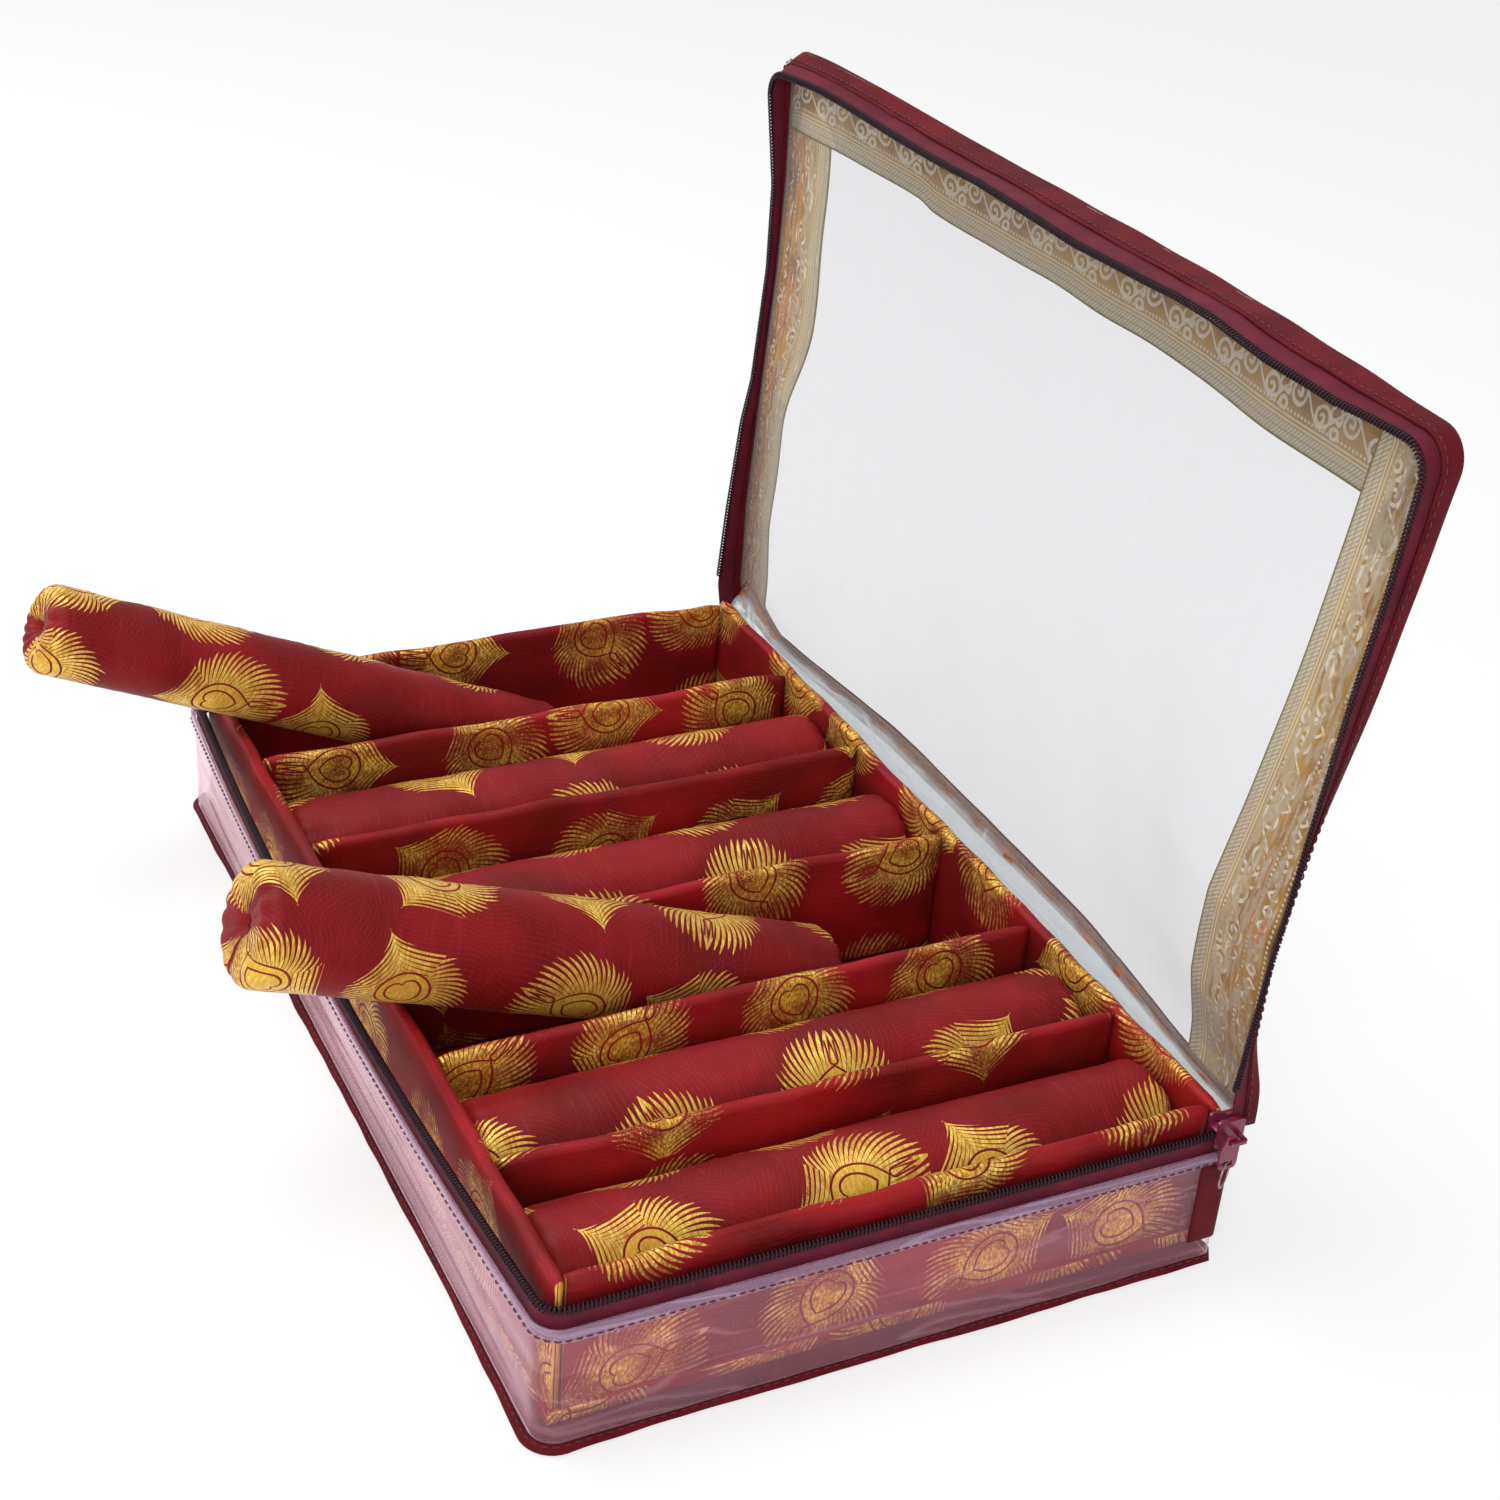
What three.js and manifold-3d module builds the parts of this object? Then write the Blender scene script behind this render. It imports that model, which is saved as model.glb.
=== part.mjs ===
// Bangle box: a soft zip-round case with a clear lid, a cloth-covered tray of six
// compartments and six cloth-covered rods that the bangles slide onto.
// Millimetres, +Z up. +X runs along the hinge, +Y points from the front to the hinge,
// and the origin is the middle of the flat underside.

import * as THREE from "three";
import { mergeVertices } from "three/addons/utils/BufferGeometryUtils.js";
import Module from "manifold-3d";

const wasm = await Module();
wasm.setup();

// Clearances shared by every piece
const seatGap = 0.3; // between a piece and what it rests on or is sewn to
const cutOverrun = 1; // how far a joined or cutting body runs past a face
const sameCorner = 0.0001; // corners nearer than this are one

// Case
const zipHeight = 53; // underside to the meeting line of the zip
const frontCornerRadius = 8;
const backCornerRadius = 1;
const rimBow = 8; // the front rim bulges this far at mid length
const filmThickness = 0.8;
const clothThickness = 1;
const basePanelThickness = 2.5;
const backWallSetback = 0.9; // the back wall stands this far inside the hinge line
const returnWidth = 11; // the back cloth turns this far on to each end
const bindingWidth = 5;
const bindingHeight = 10;
const hemWidth = 7; // folded top edge of the clear wall

// Zip
const tapeThickness = 1;
const tapeWidth = 12;
const tapeInset = 1.1; // outside of the wall to the outside of the tape
const chainHeight = 3.3;
const chainWidth = 3;
const chainPitch = 4;
const toothDepth = 1.7;
const tipShare = 0.8; // a tooth's tip to its root
const meetingGap = 0.2; // tooth tips to the meeting line, each side

// Lid
const lidAngle = 91.5; // opened this far from shut, in degrees
const lidFrontSetback = 2; // shut, the lid's free edge lies this far behind the case's front
const lidDepth = 24; // meeting line to the clear panel, at the free edge
const lidHingeDepth = 16; // the same at the hinge, where the soft lid sinks in
const lidBow = 5;
const lidCornerRadius = 12;
const edgeBandDepth = 12;
const edgeFlange = 6; // the cloth band turns this far over the panel
const laceWidth = 31;
const hingeLaceWidth = 12;
const laceThickness = 0.8;
const backBindingDepth = 6;
const hingeEndInset = 5.5; // the hinged edges stop this far inside the ends, beside the slider
const lidZipStart = 15; // the lid's zip begins this far from the hinge, at the slider

// Tray
const trayEndRoom = 5.5; // outside of the clear wall to the tray, at each end
const trayFrontRoom = 4.5; // outside of the clear front wall to the tray
const trayBackRoom = 0.6; // tray to the cloth back wall
const trayFloorThickness = 7; // padded board
const trayWallThickness = 4.5;
const trayTop = 60; // underside of the case to the top of the tray's walls
const dividerThickness = 5;
const dividerDrop = 1.5; // dividers end this far below the walls

// Rods
const rodLength = 219;
const rodEndRoom = 0.5; // rod to the tray's front and back walls, at each end
// Counted from the +X end: each rod, and the room its compartment leaves beside it
const rodDiameters = [44, 44, 41, 43, 43, 34];
const compartmentRooms = [6.3, 5.6, 17.7, 19.7, 15.3, 25.4];
const rodCloth = 1.2;
const rodEndRound = 8;
const rodEndDish = 4; // the gathered cloth is drawn in this deep
const rodEndHole = 2.5; // radius of the hole left in the gathers
const rodPleatDepth = 0.9;
const rodPleats = 8;
const tubeWall = 2.5;
// The two rods that lean on the front wall: counted from the +X end, with the room
// left behind the lower end
const leaningRods = new Map([
  [2, 69],
  [5, 95],
]);

// Slider, puller and ring
const sliderLength = 10.5;
const sliderFrontHeight = 11;
const sliderTailHeight = 9.6;
const sliderPlate = 1;
const sliderFromHinge = 3.5; // hinge line to the slider's middle
const sliderRunningGap = 0.4;
const railHeight = 0.9;
const railSlot = 0.8; // middle of the tape to the edge of a rail
const wedgeLength = 4;
const wedgeHeight = 2;
const crownRise = 5.6;
const crownBar = 1.2;
const crownSpan = 6;
const tabLength = 13;
const tabWidth = 7;
const tabThickness = 0.9;
const tabFromPlate = 3.6; // outer face of the slider to the middle of the tab
const tabEyeRadius = 1.2;
const tabSlotWidth = 3.4;
const tabSlotHeight = 2;
const tabSlotMargin = 2.2; // end of the tab to the middle of its slot
const ringRadius = 4.6;
const ringWire = 0.4;
const ringTurn = 55; // degrees that the ring's plane is turned from square to the end wall

// Mesh fineness
const cornerSteps = 5;
const bowSteps = 12;
const rodSides = 24;
const roundSteps = 3;
const wireSides = 8;
const wireSteps = 24;
const settlingRounds = 60; // repeats that find a leaning rod's tilt

const degrees = Math.PI / 180;

// The tray is sized round its rods, and the case round its tray
const compartmentWidths = rodDiameters.map((diameter, i) => diameter + compartmentRooms[i]);
const insideLength = compartmentWidths.reduce(
  (total, width) => total + width,
  dividerThickness * (rodDiameters.length - 1),
);
const insideWidth = rodLength + 2 * rodEndRoom;
const insideHalfLength = insideLength / 2;
const insideHalfWidth = insideWidth / 2;
const trayHalfLength = insideHalfLength + trayWallThickness;
const trayHalfWidth = insideHalfWidth + trayWallThickness;
const halfLength = trayHalfLength + trayEndRoom; // origin to the outside of a clear end wall
const caseFront = trayHalfWidth + trayFrontRoom; // origin to the outside of the front wall
const backWallY = trayHalfWidth + trayBackRoom + clothThickness;
const hingeSetback = backWallY + backWallSetback; // origin to the hinge line
const lidReach = hingeSetback + caseFront - lidFrontSetback;
const bindingInset = seatGap;

const finishes = {
  satin: { color: 0x87191e, roughness: 0.5, metalness: 0 },
  baseCloth: { color: 0x6e1420, roughness: 0.7, metalness: 0 },
  film: { color: 0xe6e4e8, roughness: 0.12, metalness: 0, transparent: true, opacity: 0.25 },
  tape: { color: 0x732339, roughness: 0.75, metalness: 0 },
  chain: { color: 0x2d1423, roughness: 0.4, metalness: 0 },
  lace: { color: 0xa98a4a, roughness: 0.45, metalness: 0.4 },
  edgeCloth: { color: 0x641219, roughness: 0.7, metalness: 0 },
  card: { color: 0x9a8468, roughness: 0.9, metalness: 0 },
  slider: { color: 0x5a1e34, roughness: 0.35, metalness: 0.3 },
  wire: { color: 0xb8b4ae, roughness: 0.3, metalness: 0.9 },
};

function named(name, finish, geometry) {
  const mesh = new THREE.Mesh(outward(geometry), new THREE.MeshStandardMaterial(finishes[finish]));
  mesh.name = name;
  return mesh;
}

// The same geometry with merged corners and its faces turned outwards
function outward(geometry) {
  const bare = geometry.clone();
  bare.deleteAttribute("normal");
  bare.deleteAttribute("uv");
  const merged = mergeVertices(bare, sameCorner);
  const position = merged.getAttribute("position");
  const index = merged.getIndex().array;
  const [a, b, c] = [new THREE.Vector3(), new THREE.Vector3(), new THREE.Vector3()];
  let volume = 0;
  const kept = [];
  for (let i = 0; i < index.length; i += 3) {
    const corners = [index[i], index[i + 1], index[i + 2]];
    if (new Set(corners).size < corners.length) {
      continue;
    }
    kept.push(...corners);
    a.fromBufferAttribute(position, corners[0]);
    b.fromBufferAttribute(position, corners[1]);
    c.fromBufferAttribute(position, corners[2]);
    volume += a.dot(b.clone().cross(c));
  }
  merged.setIndex(volume < 0 ? kept.reverse() : kept);
  return merged;
}

function solidOf(geometry) {
  const closed = outward(geometry);
  const vertProperties = closed.getAttribute("position").array;
  const triVerts = new Uint32Array(closed.getIndex().array);
  return new wasm.Manifold(new wasm.Mesh({ numProp: 3, vertProperties, triVerts }));
}

function geometryOf(solid) {
  const mesh = solid.getMesh();
  const geometry = new THREE.BufferGeometry();
  geometry.setAttribute("position", new THREE.Float32BufferAttribute(mesh.vertProperties, 3));
  geometry.setIndex(Array.from(mesh.triVerts));
  return geometry;
}

function joined(geometries) {
  return geometryOf(geometries.map(solidOf).reduce((whole, part) => whole.add(part)));
}

// A box given by its lowest and highest corners
function block(low, high) {
  const size = high.map((value, axis) => value - low[axis]);
  const middle = high.map((value, axis) => (value + low[axis]) / 2);
  return new THREE.BoxGeometry(...size).translate(...middle);
}

// Plan outline of a rim: from the hinge at +X, round the front, back to the hinge at -X.
// Each point knows its outward direction and how much of the front's bulge it takes.
function rimPath(frontY, backY, radius, spacing) {
  const straightX = halfLength - radius;
  const straightY = frontY - radius;
  const points = [];
  const add = (x, y) => points.push(new THREE.Vector2(x, y));
  const alongEnd = spacing ? Math.round((backY + straightY) / spacing) : 1;
  const alongFront = spacing ? Math.round((2 * straightX) / spacing) : bowSteps;
  for (let i = 0; i < alongEnd; i += 1) {
    add(halfLength, backY - ((backY + straightY) * i) / alongEnd);
  }
  for (let i = 0; i < cornerSteps; i += 1) {
    const turn = (Math.PI / 2) * (i / cornerSteps);
    add(straightX + radius * Math.cos(turn), -straightY - radius * Math.sin(turn));
  }
  for (let i = 0; i < alongFront; i += 1) {
    add(straightX - (2 * straightX * i) / alongFront, -frontY);
  }
  for (let i = 0; i < cornerSteps; i += 1) {
    const turn = (Math.PI / 2) * (i / cornerSteps);
    add(-straightX - radius * Math.sin(turn), -straightY - radius * Math.cos(turn));
  }
  for (let i = 0; i <= alongEnd; i += 1) {
    add(-halfLength, -straightY + ((backY + straightY) * i) / alongEnd);
  }
  return withNormals(points, false);
}

function withNormals(points, closed) {
  const last = points.length - 1;
  return points.map((point, i) => {
    const before = closed || i > 0 ? points[(i + last) % points.length] : point;
    const after = closed || i < last ? points[(i + 1) % points.length] : point;
    const into = point.clone().sub(before).normalize();
    const away = after.clone().sub(point).normalize();
    const along = into.add(away).normalize();
    const out = new THREE.Vector2(along.y, -along.x);
    const bulge = 1 - (point.x / halfLength) ** 2;
    return { point, out: out.negate(), bulge: point.y < 0 ? Math.max(bulge, 0) : 0 };
  });
}

// Carries a section of [outward, height] points along a path. A section may differ from
// point to point, but always has the same number of corners. The front bulges by
// bowAt(height) at mid length.
function sweep(path, sectionAt, bowAt = () => 0, closed = false) {
  const rings = path.map((place, i) => {
    return sectionAt(i).map(([offset, height]) => {
      const spot = place.point.clone().addScaledVector(place.out, offset);
      return [spot.x, spot.y - bowAt(height) * place.bulge, height];
    });
  });
  const sides = rings[0].length;
  const index = [];
  const count = closed ? rings.length : rings.length - 1;
  for (let i = 0; i < count; i += 1) {
    const here = i * sides;
    const next = ((i + 1) % rings.length) * sides;
    for (let k = 0; k < sides; k += 1) {
      const turn = (k + 1) % sides;
      index.push(here + k, here + turn, next + k, here + turn, next + turn, next + k);
    }
  }
  if (!closed) {
    const flat = sectionAt(0).map(([u, v]) => new THREE.Vector2(u, v));
    const end = (rings.length - 1) * sides;
    for (const [p, q, r] of THREE.ShapeUtils.triangulateShape(flat, [])) {
      const faceUp = THREE.ShapeUtils.isClockWise(flat) ? [p, r, q] : [p, q, r];
      index.push(faceUp[0], faceUp[2], faceUp[1]);
      index.push(end + faceUp[0], end + faceUp[1], end + faceUp[2]);
    }
  }
  const geometry = new THREE.BufferGeometry();
  geometry.setAttribute("position", new THREE.Float32BufferAttribute(rings.flat(2), 3));
  geometry.setIndex(index);
  return geometry;
}

function rectangle(inner, outer, low, high) {
  return [
    [inner, low],
    [outer, low],
    [outer, high],
    [inner, high],
  ];
}

// Rounded plan outline of the whole base
function baseOutline() {
  const radii = [frontCornerRadius, frontCornerRadius, backCornerRadius, backCornerRadius];
  const corners = [
    [-halfLength, -caseFront, Math.PI],
    [halfLength, -caseFront, -Math.PI / 2],
    [halfLength, backWallY, 0],
    [-halfLength, backWallY, Math.PI / 2],
  ];
  const points = [];
  corners.forEach(([x, y, from], i) => {
    const radius = radii[i];
    const centre = new THREE.Vector2(x - Math.sign(x) * radius, y - Math.sign(y) * radius);
    for (let k = 0; k <= cornerSteps; k += 1) {
      const turn = from + (Math.PI / 2) * (k / cornerSteps);
      const reach = new THREE.Vector2(Math.cos(turn), Math.sin(turn)).multiplyScalar(radius);
      points.push(centre.clone().add(reach));
    }
  });
  return points;
}

function basePanel() {
  const shape = new THREE.Shape(baseOutline());
  const geometry = new THREE.ExtrudeGeometry(shape, {
    depth: basePanelThickness,
    bevelEnabled: false,
  });
  return named("base_panel", "baseCloth", geometry);
}

// Folded cloth edging round the base, standing proud of the walls
function baseBinding() {
  const outer = bindingInset + bindingWidth;
  const profile = [
    [bindingInset, 0],
    [outer - bindingWidth * 0.25, 0],
    [outer, bindingHeight * 0.3],
    [outer - bindingWidth * 0.2, bindingHeight * 0.8],
    [bindingInset + bindingWidth * 0.3, bindingHeight],
    [bindingInset, bindingHeight * 0.95],
  ];
  const path = withNormals(baseOutline().reverse(), true);
  return named("base_binding", "baseCloth", sweep(path, () => profile, undefined, true));
}

const wallFoot = basePanelThickness + seatGap;
const filmTop = zipHeight - tapeWidth + seatGap;
const hingeEdgeX = halfLength - hingeEndInset;
const filmBackY = backWallY - clothThickness - seatGap;
const casePath = rimPath(caseFront, filmBackY, frontCornerRadius);

// The walls stand upright behind the binding, then lean out to the bulging front rim
const leanFoot = bindingHeight + seatGap;
const caseBowAt = (height) => {
  const share = (height - leanFoot) / (zipHeight - leanFoot);
  return rimBow * Math.min(Math.max(share, 0), 1);
};
const lidBowAt = () => lidBow;

function caseFilm() {
  const section = [
    [-filmThickness, wallFoot],
    [0, wallFoot],
    [0, leanFoot],
    [0, filmTop],
    [-filmThickness, filmTop],
    [-filmThickness, leanFoot],
  ];
  return named("case_film", "film", sweep(casePath, () => section, caseBowAt));
}

// Folded top edge of the clear wall, outside the foot of the zip tape
function filmHem() {
  const section = rectangle(seatGap, seatGap + filmThickness, filmTop - hemWidth, filmTop);
  const backY = backWallY - returnWidth - seatGap;
  const path = rimPath(caseFront, backY, frontCornerRadius);
  return named("film_hem", "film", sweep(path, () => section, caseBowAt));
}

// Cloth back of the case, which turns on to both ends
function backWall() {
  const outerY = backWallY;
  const outerX = halfLength + seatGap + clothThickness;
  const stop = outerY - returnWidth;
  const points = [
    [outerX, stop],
    [outerX, outerY - clothThickness],
    [outerX, outerY],
    [outerX - clothThickness * 2, outerY],
    [-outerX + clothThickness * 2, outerY],
    [-outerX, outerY],
    [-outerX, outerY - clothThickness],
    [-outerX, stop],
  ].map(([x, y]) => new THREE.Vector2(x, y));
  const low = bindingHeight + seatGap;
  const endTop = filmTop;
  const backTop = zipHeight - seatGap;
  const shape = new THREE.Shape(points);
  const inner = [
    [-outerX + clothThickness, stop],
    [-outerX + clothThickness, outerY - clothThickness],
    [outerX - clothThickness, outerY - clothThickness],
    [outerX - clothThickness, stop],
  ];
  inner.forEach(([x, y]) => shape.lineTo(x, y));
  const turned = new THREE.ExtrudeGeometry(shape, { depth: endTop - low, bevelEnabled: false });
  turned.translate(0, 0, low);
  const upper = block(
    [-hingeEdgeX, outerY - clothThickness, endTop - cutOverrun],
    [hingeEdgeX, outerY, backTop],
  );
  const lower = block(
    [-hingeEdgeX, outerY - clothThickness, wallFoot],
    [hingeEdgeX, outerY, low + cutOverrun],
  );
  return named("back_wall", "baseCloth", joined([turned, upper, lower]));
}

function lowerTape() {
  const high = zipHeight - meetingGap - chainHeight - seatGap;
  const low = zipHeight - tapeWidth - hemWidth / 2;
  const section = rectangle(-tapeInset - tapeThickness, -tapeInset, low, high);
  return named("lower_zip_tape", "tape", sweep(casePath, () => section, caseBowAt));
}

// Toothed chain on the edge of a tape. The teeth point along facing.
function chainGeometry(path, rootZ, facing, bowAt) {
  const middle = -tapeInset - tapeThickness / 2;
  const half = chainWidth / 2;
  const tipHalf = half * tipShare;
  const sectionAt = (i) => {
    const rise = i % 2 === 0 ? chainHeight - toothDepth : chainHeight;
    const tip = rootZ + facing * rise;
    return [
      [middle - half, rootZ],
      [middle + half, rootZ],
      [middle + tipHalf, tip],
      [middle - tipHalf, tip],
    ];
  };
  return sweep(path, sectionAt, bowAt);
}

function lowerChain() {
  const path = rimPath(caseFront, filmBackY, frontCornerRadius, chainPitch / 2);
  const rootZ = zipHeight - meetingGap - chainHeight;
  return named("lower_zip_chain", "chain", chainGeometry(path, rootZ, 1, caseBowAt));
}

// Lid, modelled shut: local height runs from the meeting line up to the clear panel, and
// local Y from the hinge towards the front
const lidPath = rimPath(lidReach, -seatGap, lidCornerRadius);

// Lowers the lid towards its hinge. The zip's own height stays as it is.
function sunk(geometry) {
  const foot = meetingGap + chainHeight;
  const hingeShare = (lidHingeDepth - foot) / (lidDepth - foot);
  const position = geometry.getAttribute("position");
  for (let i = 0; i < position.count; i += 1) {
    const away = Math.min(Math.max(-position.getY(i) / lidReach, 0), 1);
    const rise = Math.max(position.getZ(i) - foot, 0);
    const share = hingeShare + (1 - hingeShare) * away;
    position.setZ(i, position.getZ(i) - rise * (1 - share));
  }
  return geometry;
}

// Same path, starting past the slider at the +X end
function lidZipPath(spacing) {
  const whole = rimPath(lidReach, -seatGap, lidCornerRadius, spacing);
  const kept = whole.filter(({ point }) => point.x < 0 || point.y <= -lidZipStart);
  if (kept[0].point.y < -lidZipStart) {
    const start = { ...kept[0], point: new THREE.Vector2(halfLength, -lidZipStart) };
    kept.unshift(start);
  }
  return kept;
}

function upperTape() {
  const low = meetingGap + chainHeight + seatGap;
  const high = low + tapeWidth - seatGap;
  const section = rectangle(-tapeInset - tapeThickness, -tapeInset, low, high);
  return named("upper_zip_tape", "tape", sunk(sweep(lidZipPath(), () => section, lidBowAt)));
}

function upperChain() {
  const rootZ = meetingGap + chainHeight;
  const path = lidZipPath(chainPitch / 2);
  return named("upper_zip_chain", "chain", chainGeometry(path, rootZ, -1, lidBowAt));
}

const lidTop = lidDepth + laceThickness + 2 * seatGap + clothThickness;

function lidEdgeBand() {
  const outer = seatGap;
  const inner = outer - clothThickness;
  const low = lidTop - edgeBandDepth - clothThickness;
  const section = [
    [inner, low],
    [outer, low],
    [outer, lidTop],
    [outer - edgeFlange, lidTop],
    [outer - edgeFlange, lidTop - clothThickness],
    [inner, lidTop - clothThickness],
  ];
  return named("lid_edge_band", "edgeCloth", sunk(sweep(lidPath, () => section, lidBowAt)));
}

function lidPanel() {
  const inset = clothThickness;
  const points = lidPath.map(({ point, out, bulge }) => {
    const spot = point.clone().addScaledVector(out, -inset);
    return new THREE.Vector2(spot.x, spot.y - lidBow * bulge);
  });
  const geometry = new THREE.ExtrudeGeometry(new THREE.Shape(points), {
    depth: filmThickness,
    bevelEnabled: false,
  });
  return named("lid_window", "film", sunk(geometry.translate(0, 0, lidDepth - filmThickness)));
}

function lidBackFilm() {
  const half = filmThickness / 2;
  const low = seatGap - backWallSetback;
  const high = lidDepth - filmThickness - seatGap;
  return named("lid_back_film", "film", sunk(block([-hingeEdgeX, -half, low], [hingeEdgeX, half, high])));
}

const laceLow = lidDepth + seatGap;
const laceHigh = laceLow + laceThickness;

// Woven border on top of the clear panel, and along the upper part of the lid's back
function laceStrips() {
  const endX = halfLength - clothThickness - seatGap;
  const frontY = -(lidReach - clothThickness - seatGap);
  const frontInnerY = frontY + laceWidth;
  const sideLow = [endX - laceWidth, frontInnerY + seatGap, laceLow];
  const sideHigh = [endX, -seatGap - clothThickness, laceHigh];
  const points = lidPath
    .filter(({ point }) => point.y < frontInnerY)
    .map(({ point, out, bulge }) => {
      const spot = point.clone().addScaledVector(out, -clothThickness - seatGap);
      return new THREE.Vector2(spot.x, spot.y - lidBow * bulge);
    });
  const outline = [
    new THREE.Vector2(endX, frontInnerY),
    ...points,
    new THREE.Vector2(-endX, frontInnerY),
  ];
  const front = new THREE.ExtrudeGeometry(new THREE.Shape(outline), {
    depth: laceThickness,
    bevelEnabled: false,
  });
  const near = block(sideLow, sideHigh);
  const far = block(
    [-sideHigh[0], sideLow[1], sideLow[2]],
    [-sideLow[0], sideHigh[1], sideHigh[2]],
  );
  const hingeY = filmThickness / 2 + seatGap;
  const hingeHigh = lidTop - clothThickness - seatGap;
  const hinge = block(
    [-hingeEdgeX, hingeY, hingeHigh - hingeLaceWidth],
    [hingeEdgeX, hingeY + laceThickness, hingeHigh],
  );
  return [
    named("lid_lace_front", "lace", sunk(front.translate(0, 0, laceLow))),
    named("lid_lace_near", "lace", sunk(near)),
    named("lid_lace_far", "lace", sunk(far)),
    named("lid_lace_hinge", "lace", sunk(hinge)),
  ];
}

// Cloth edging over the lid's hinge edge
function lidBackBinding() {
  const reachX = halfLength - clothThickness - seatGap;
  const outerY = filmThickness / 2 + 2 * seatGap + laceThickness + clothThickness;
  const profile = new THREE.Shape();
  profile.moveTo(outerY, lidTop - backBindingDepth);
  profile.lineTo(outerY, lidTop);
  profile.lineTo(outerY - edgeFlange, lidTop);
  profile.lineTo(outerY - edgeFlange, lidTop - clothThickness);
  profile.lineTo(outerY - clothThickness, lidTop - clothThickness);
  profile.lineTo(outerY - clothThickness, lidTop - backBindingDepth);
  const length = 2 * (reachX - edgeFlange);
  const geometry = new THREE.ExtrudeGeometry(profile, { depth: length, bevelEnabled: false });
  geometry.translate(0, 0, -length / 2);
  geometry.applyMatrix4(alongX());
  return named("lid_back_binding", "edgeCloth", sunk(geometry));
}

// Turns a shape drawn as (Y, Z) and extruded along Z into one that runs along X
function alongX() {
  return new THREE.Matrix4().set(0, 0, 1, 0, 1, 0, 0, 0, 0, 1, 0, 0, 0, 0, 0, 1);
}

function lid() {
  const group = new THREE.Group();
  group.position.set(0, hingeSetback, zipHeight);
  group.rotation.x = -lidAngle * degrees;
  group.add(lidPanel(), lidBackFilm(), ...laceStrips(), lidEdgeBand(), lidBackBinding());
  group.add(upperTape(), upperChain());
  return group;
}

// Tray
const trayFloorLow = basePanelThickness + seatGap;
const trayFloorTop = trayFloorLow + trayFloorThickness;
const trayWallFoot = trayFloorTop + seatGap;

function trayFloor() {
  return named(
    "tray_floor",
    "satin",
    block(
      [-trayHalfLength, -trayHalfWidth, trayFloorLow],
      [trayHalfLength, trayHalfWidth, trayFloorTop],
    ),
  );
}

// Upright board under cloth, with a rounded top, drawn in (across, up)
function boardProfile(thickness, top) {
  const half = thickness / 2;
  const shape = new THREE.Shape();
  shape.moveTo(-half, trayWallFoot);
  shape.lineTo(half, trayWallFoot);
  shape.lineTo(half, top - half);
  shape.absarc(0, top - half, half, 0, Math.PI, false);
  shape.lineTo(-half, trayWallFoot);
  return shape;
}

function boardAlongX(name, middleY, thickness, top, length) {
  const geometry = new THREE.ExtrudeGeometry(boardProfile(thickness, top), {
    depth: length,
    bevelEnabled: false,
    curveSegments: 2 * roundSteps,
  });
  geometry.translate(0, 0, -length / 2);
  geometry.applyMatrix4(alongX());
  return named(name, "satin", geometry.translate(0, middleY, 0));
}

function boardAlongY(name, middleX, thickness, top, length) {
  const board = boardAlongX(name, 0, thickness, top, length);
  board.geometry.rotateZ(Math.PI / 2).translate(middleX, 0, 0);
  return board;
}

// Middle of a compartment along X, counted from the +X end
function compartmentMiddle(number) {
  const before = compartmentWidths.slice(0, number).reduce((sum, width) => sum + width, 0);
  const start = insideHalfLength - before - number * dividerThickness;
  return start - compartmentWidths[number] / 2;
}

function tray() {
  const group = new THREE.Group();
  const wallY = trayHalfWidth - trayWallThickness / 2;
  const wallX = trayHalfLength - trayWallThickness / 2;
  const along = 2 * trayHalfLength;
  const across = insideWidth - 2 * seatGap;
  group.add(trayFloor());
  group.add(boardAlongX("tray_front_wall", -wallY, trayWallThickness, trayTop, along));
  group.add(boardAlongX("tray_back_wall", wallY, trayWallThickness, trayTop, along));
  group.add(boardAlongY("tray_near_wall", wallX, trayWallThickness, trayTop, across));
  group.add(boardAlongY("tray_far_wall", -wallX, trayWallThickness, trayTop, across));
  const dividerTop = trayTop - dividerDrop;
  for (let i = 0; i < rodDiameters.length - 1; i += 1) {
    const edge = compartmentMiddle(i) - compartmentWidths[i] / 2;
    const middle = edge - dividerThickness / 2;
    group.add(boardAlongY(`divider_${i + 1}`, middle, dividerThickness, dividerTop, across));
  }
  return group;
}

// Cloth sleeve round a rod, gathered into each end. Its axis is local Y.
function rodCover(name, radius) {
  const half = rodLength / 2;
  const round = (size, out) => {
    const points = [];
    for (let i = 0; i <= roundSteps; i += 1) {
      const turn = (Math.PI / 2) * (i / roundSteps);
      const across = radius - rodEndRound + size * Math.sin(turn);
      points.push([across, out * (half - rodEndRound + size * Math.cos(turn))]);
    }
    return points;
  };
  const outerRound = (side) => round(rodEndRound, side);
  const innerRound = (side) => round(rodEndRound - rodCloth, side);
  const dish = (side) => [rodEndHole, side * (half - rodEndDish)];
  const dishInside = (side) => [rodEndHole, side * (half - rodEndDish - rodCloth)];
  const loop = [
    dish(1),
    ...outerRound(1),
    ...outerRound(-1).reverse(),
    dish(-1),
    dishInside(-1),
    ...innerRound(-1),
    ...innerRound(1).reverse(),
    dishInside(1),
    dish(1),
  ];
  const profile = loop.map(([x, y]) => new THREE.Vector2(x, y));
  const geometry = new THREE.LatheGeometry(profile, rodSides);
  const position = geometry.getAttribute("position");
  for (let i = 0; i < position.count; i += 1) {
    const [x, y, z] = [position.getX(i), position.getY(i), position.getZ(i)];
    const across = Math.hypot(x, z);
    const inFace = across < radius - rodEndRound * 0.7 && across > rodEndHole * 1.2;
    if (inFace) {
      const pleat = rodPleatDepth * (Math.cos(rodPleats * Math.atan2(z, x)) - 1);
      position.setY(i, y + (Math.sign(y) * pleat) / 2);
    }
  }
  return named(name, "satin", geometry);
}

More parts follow.
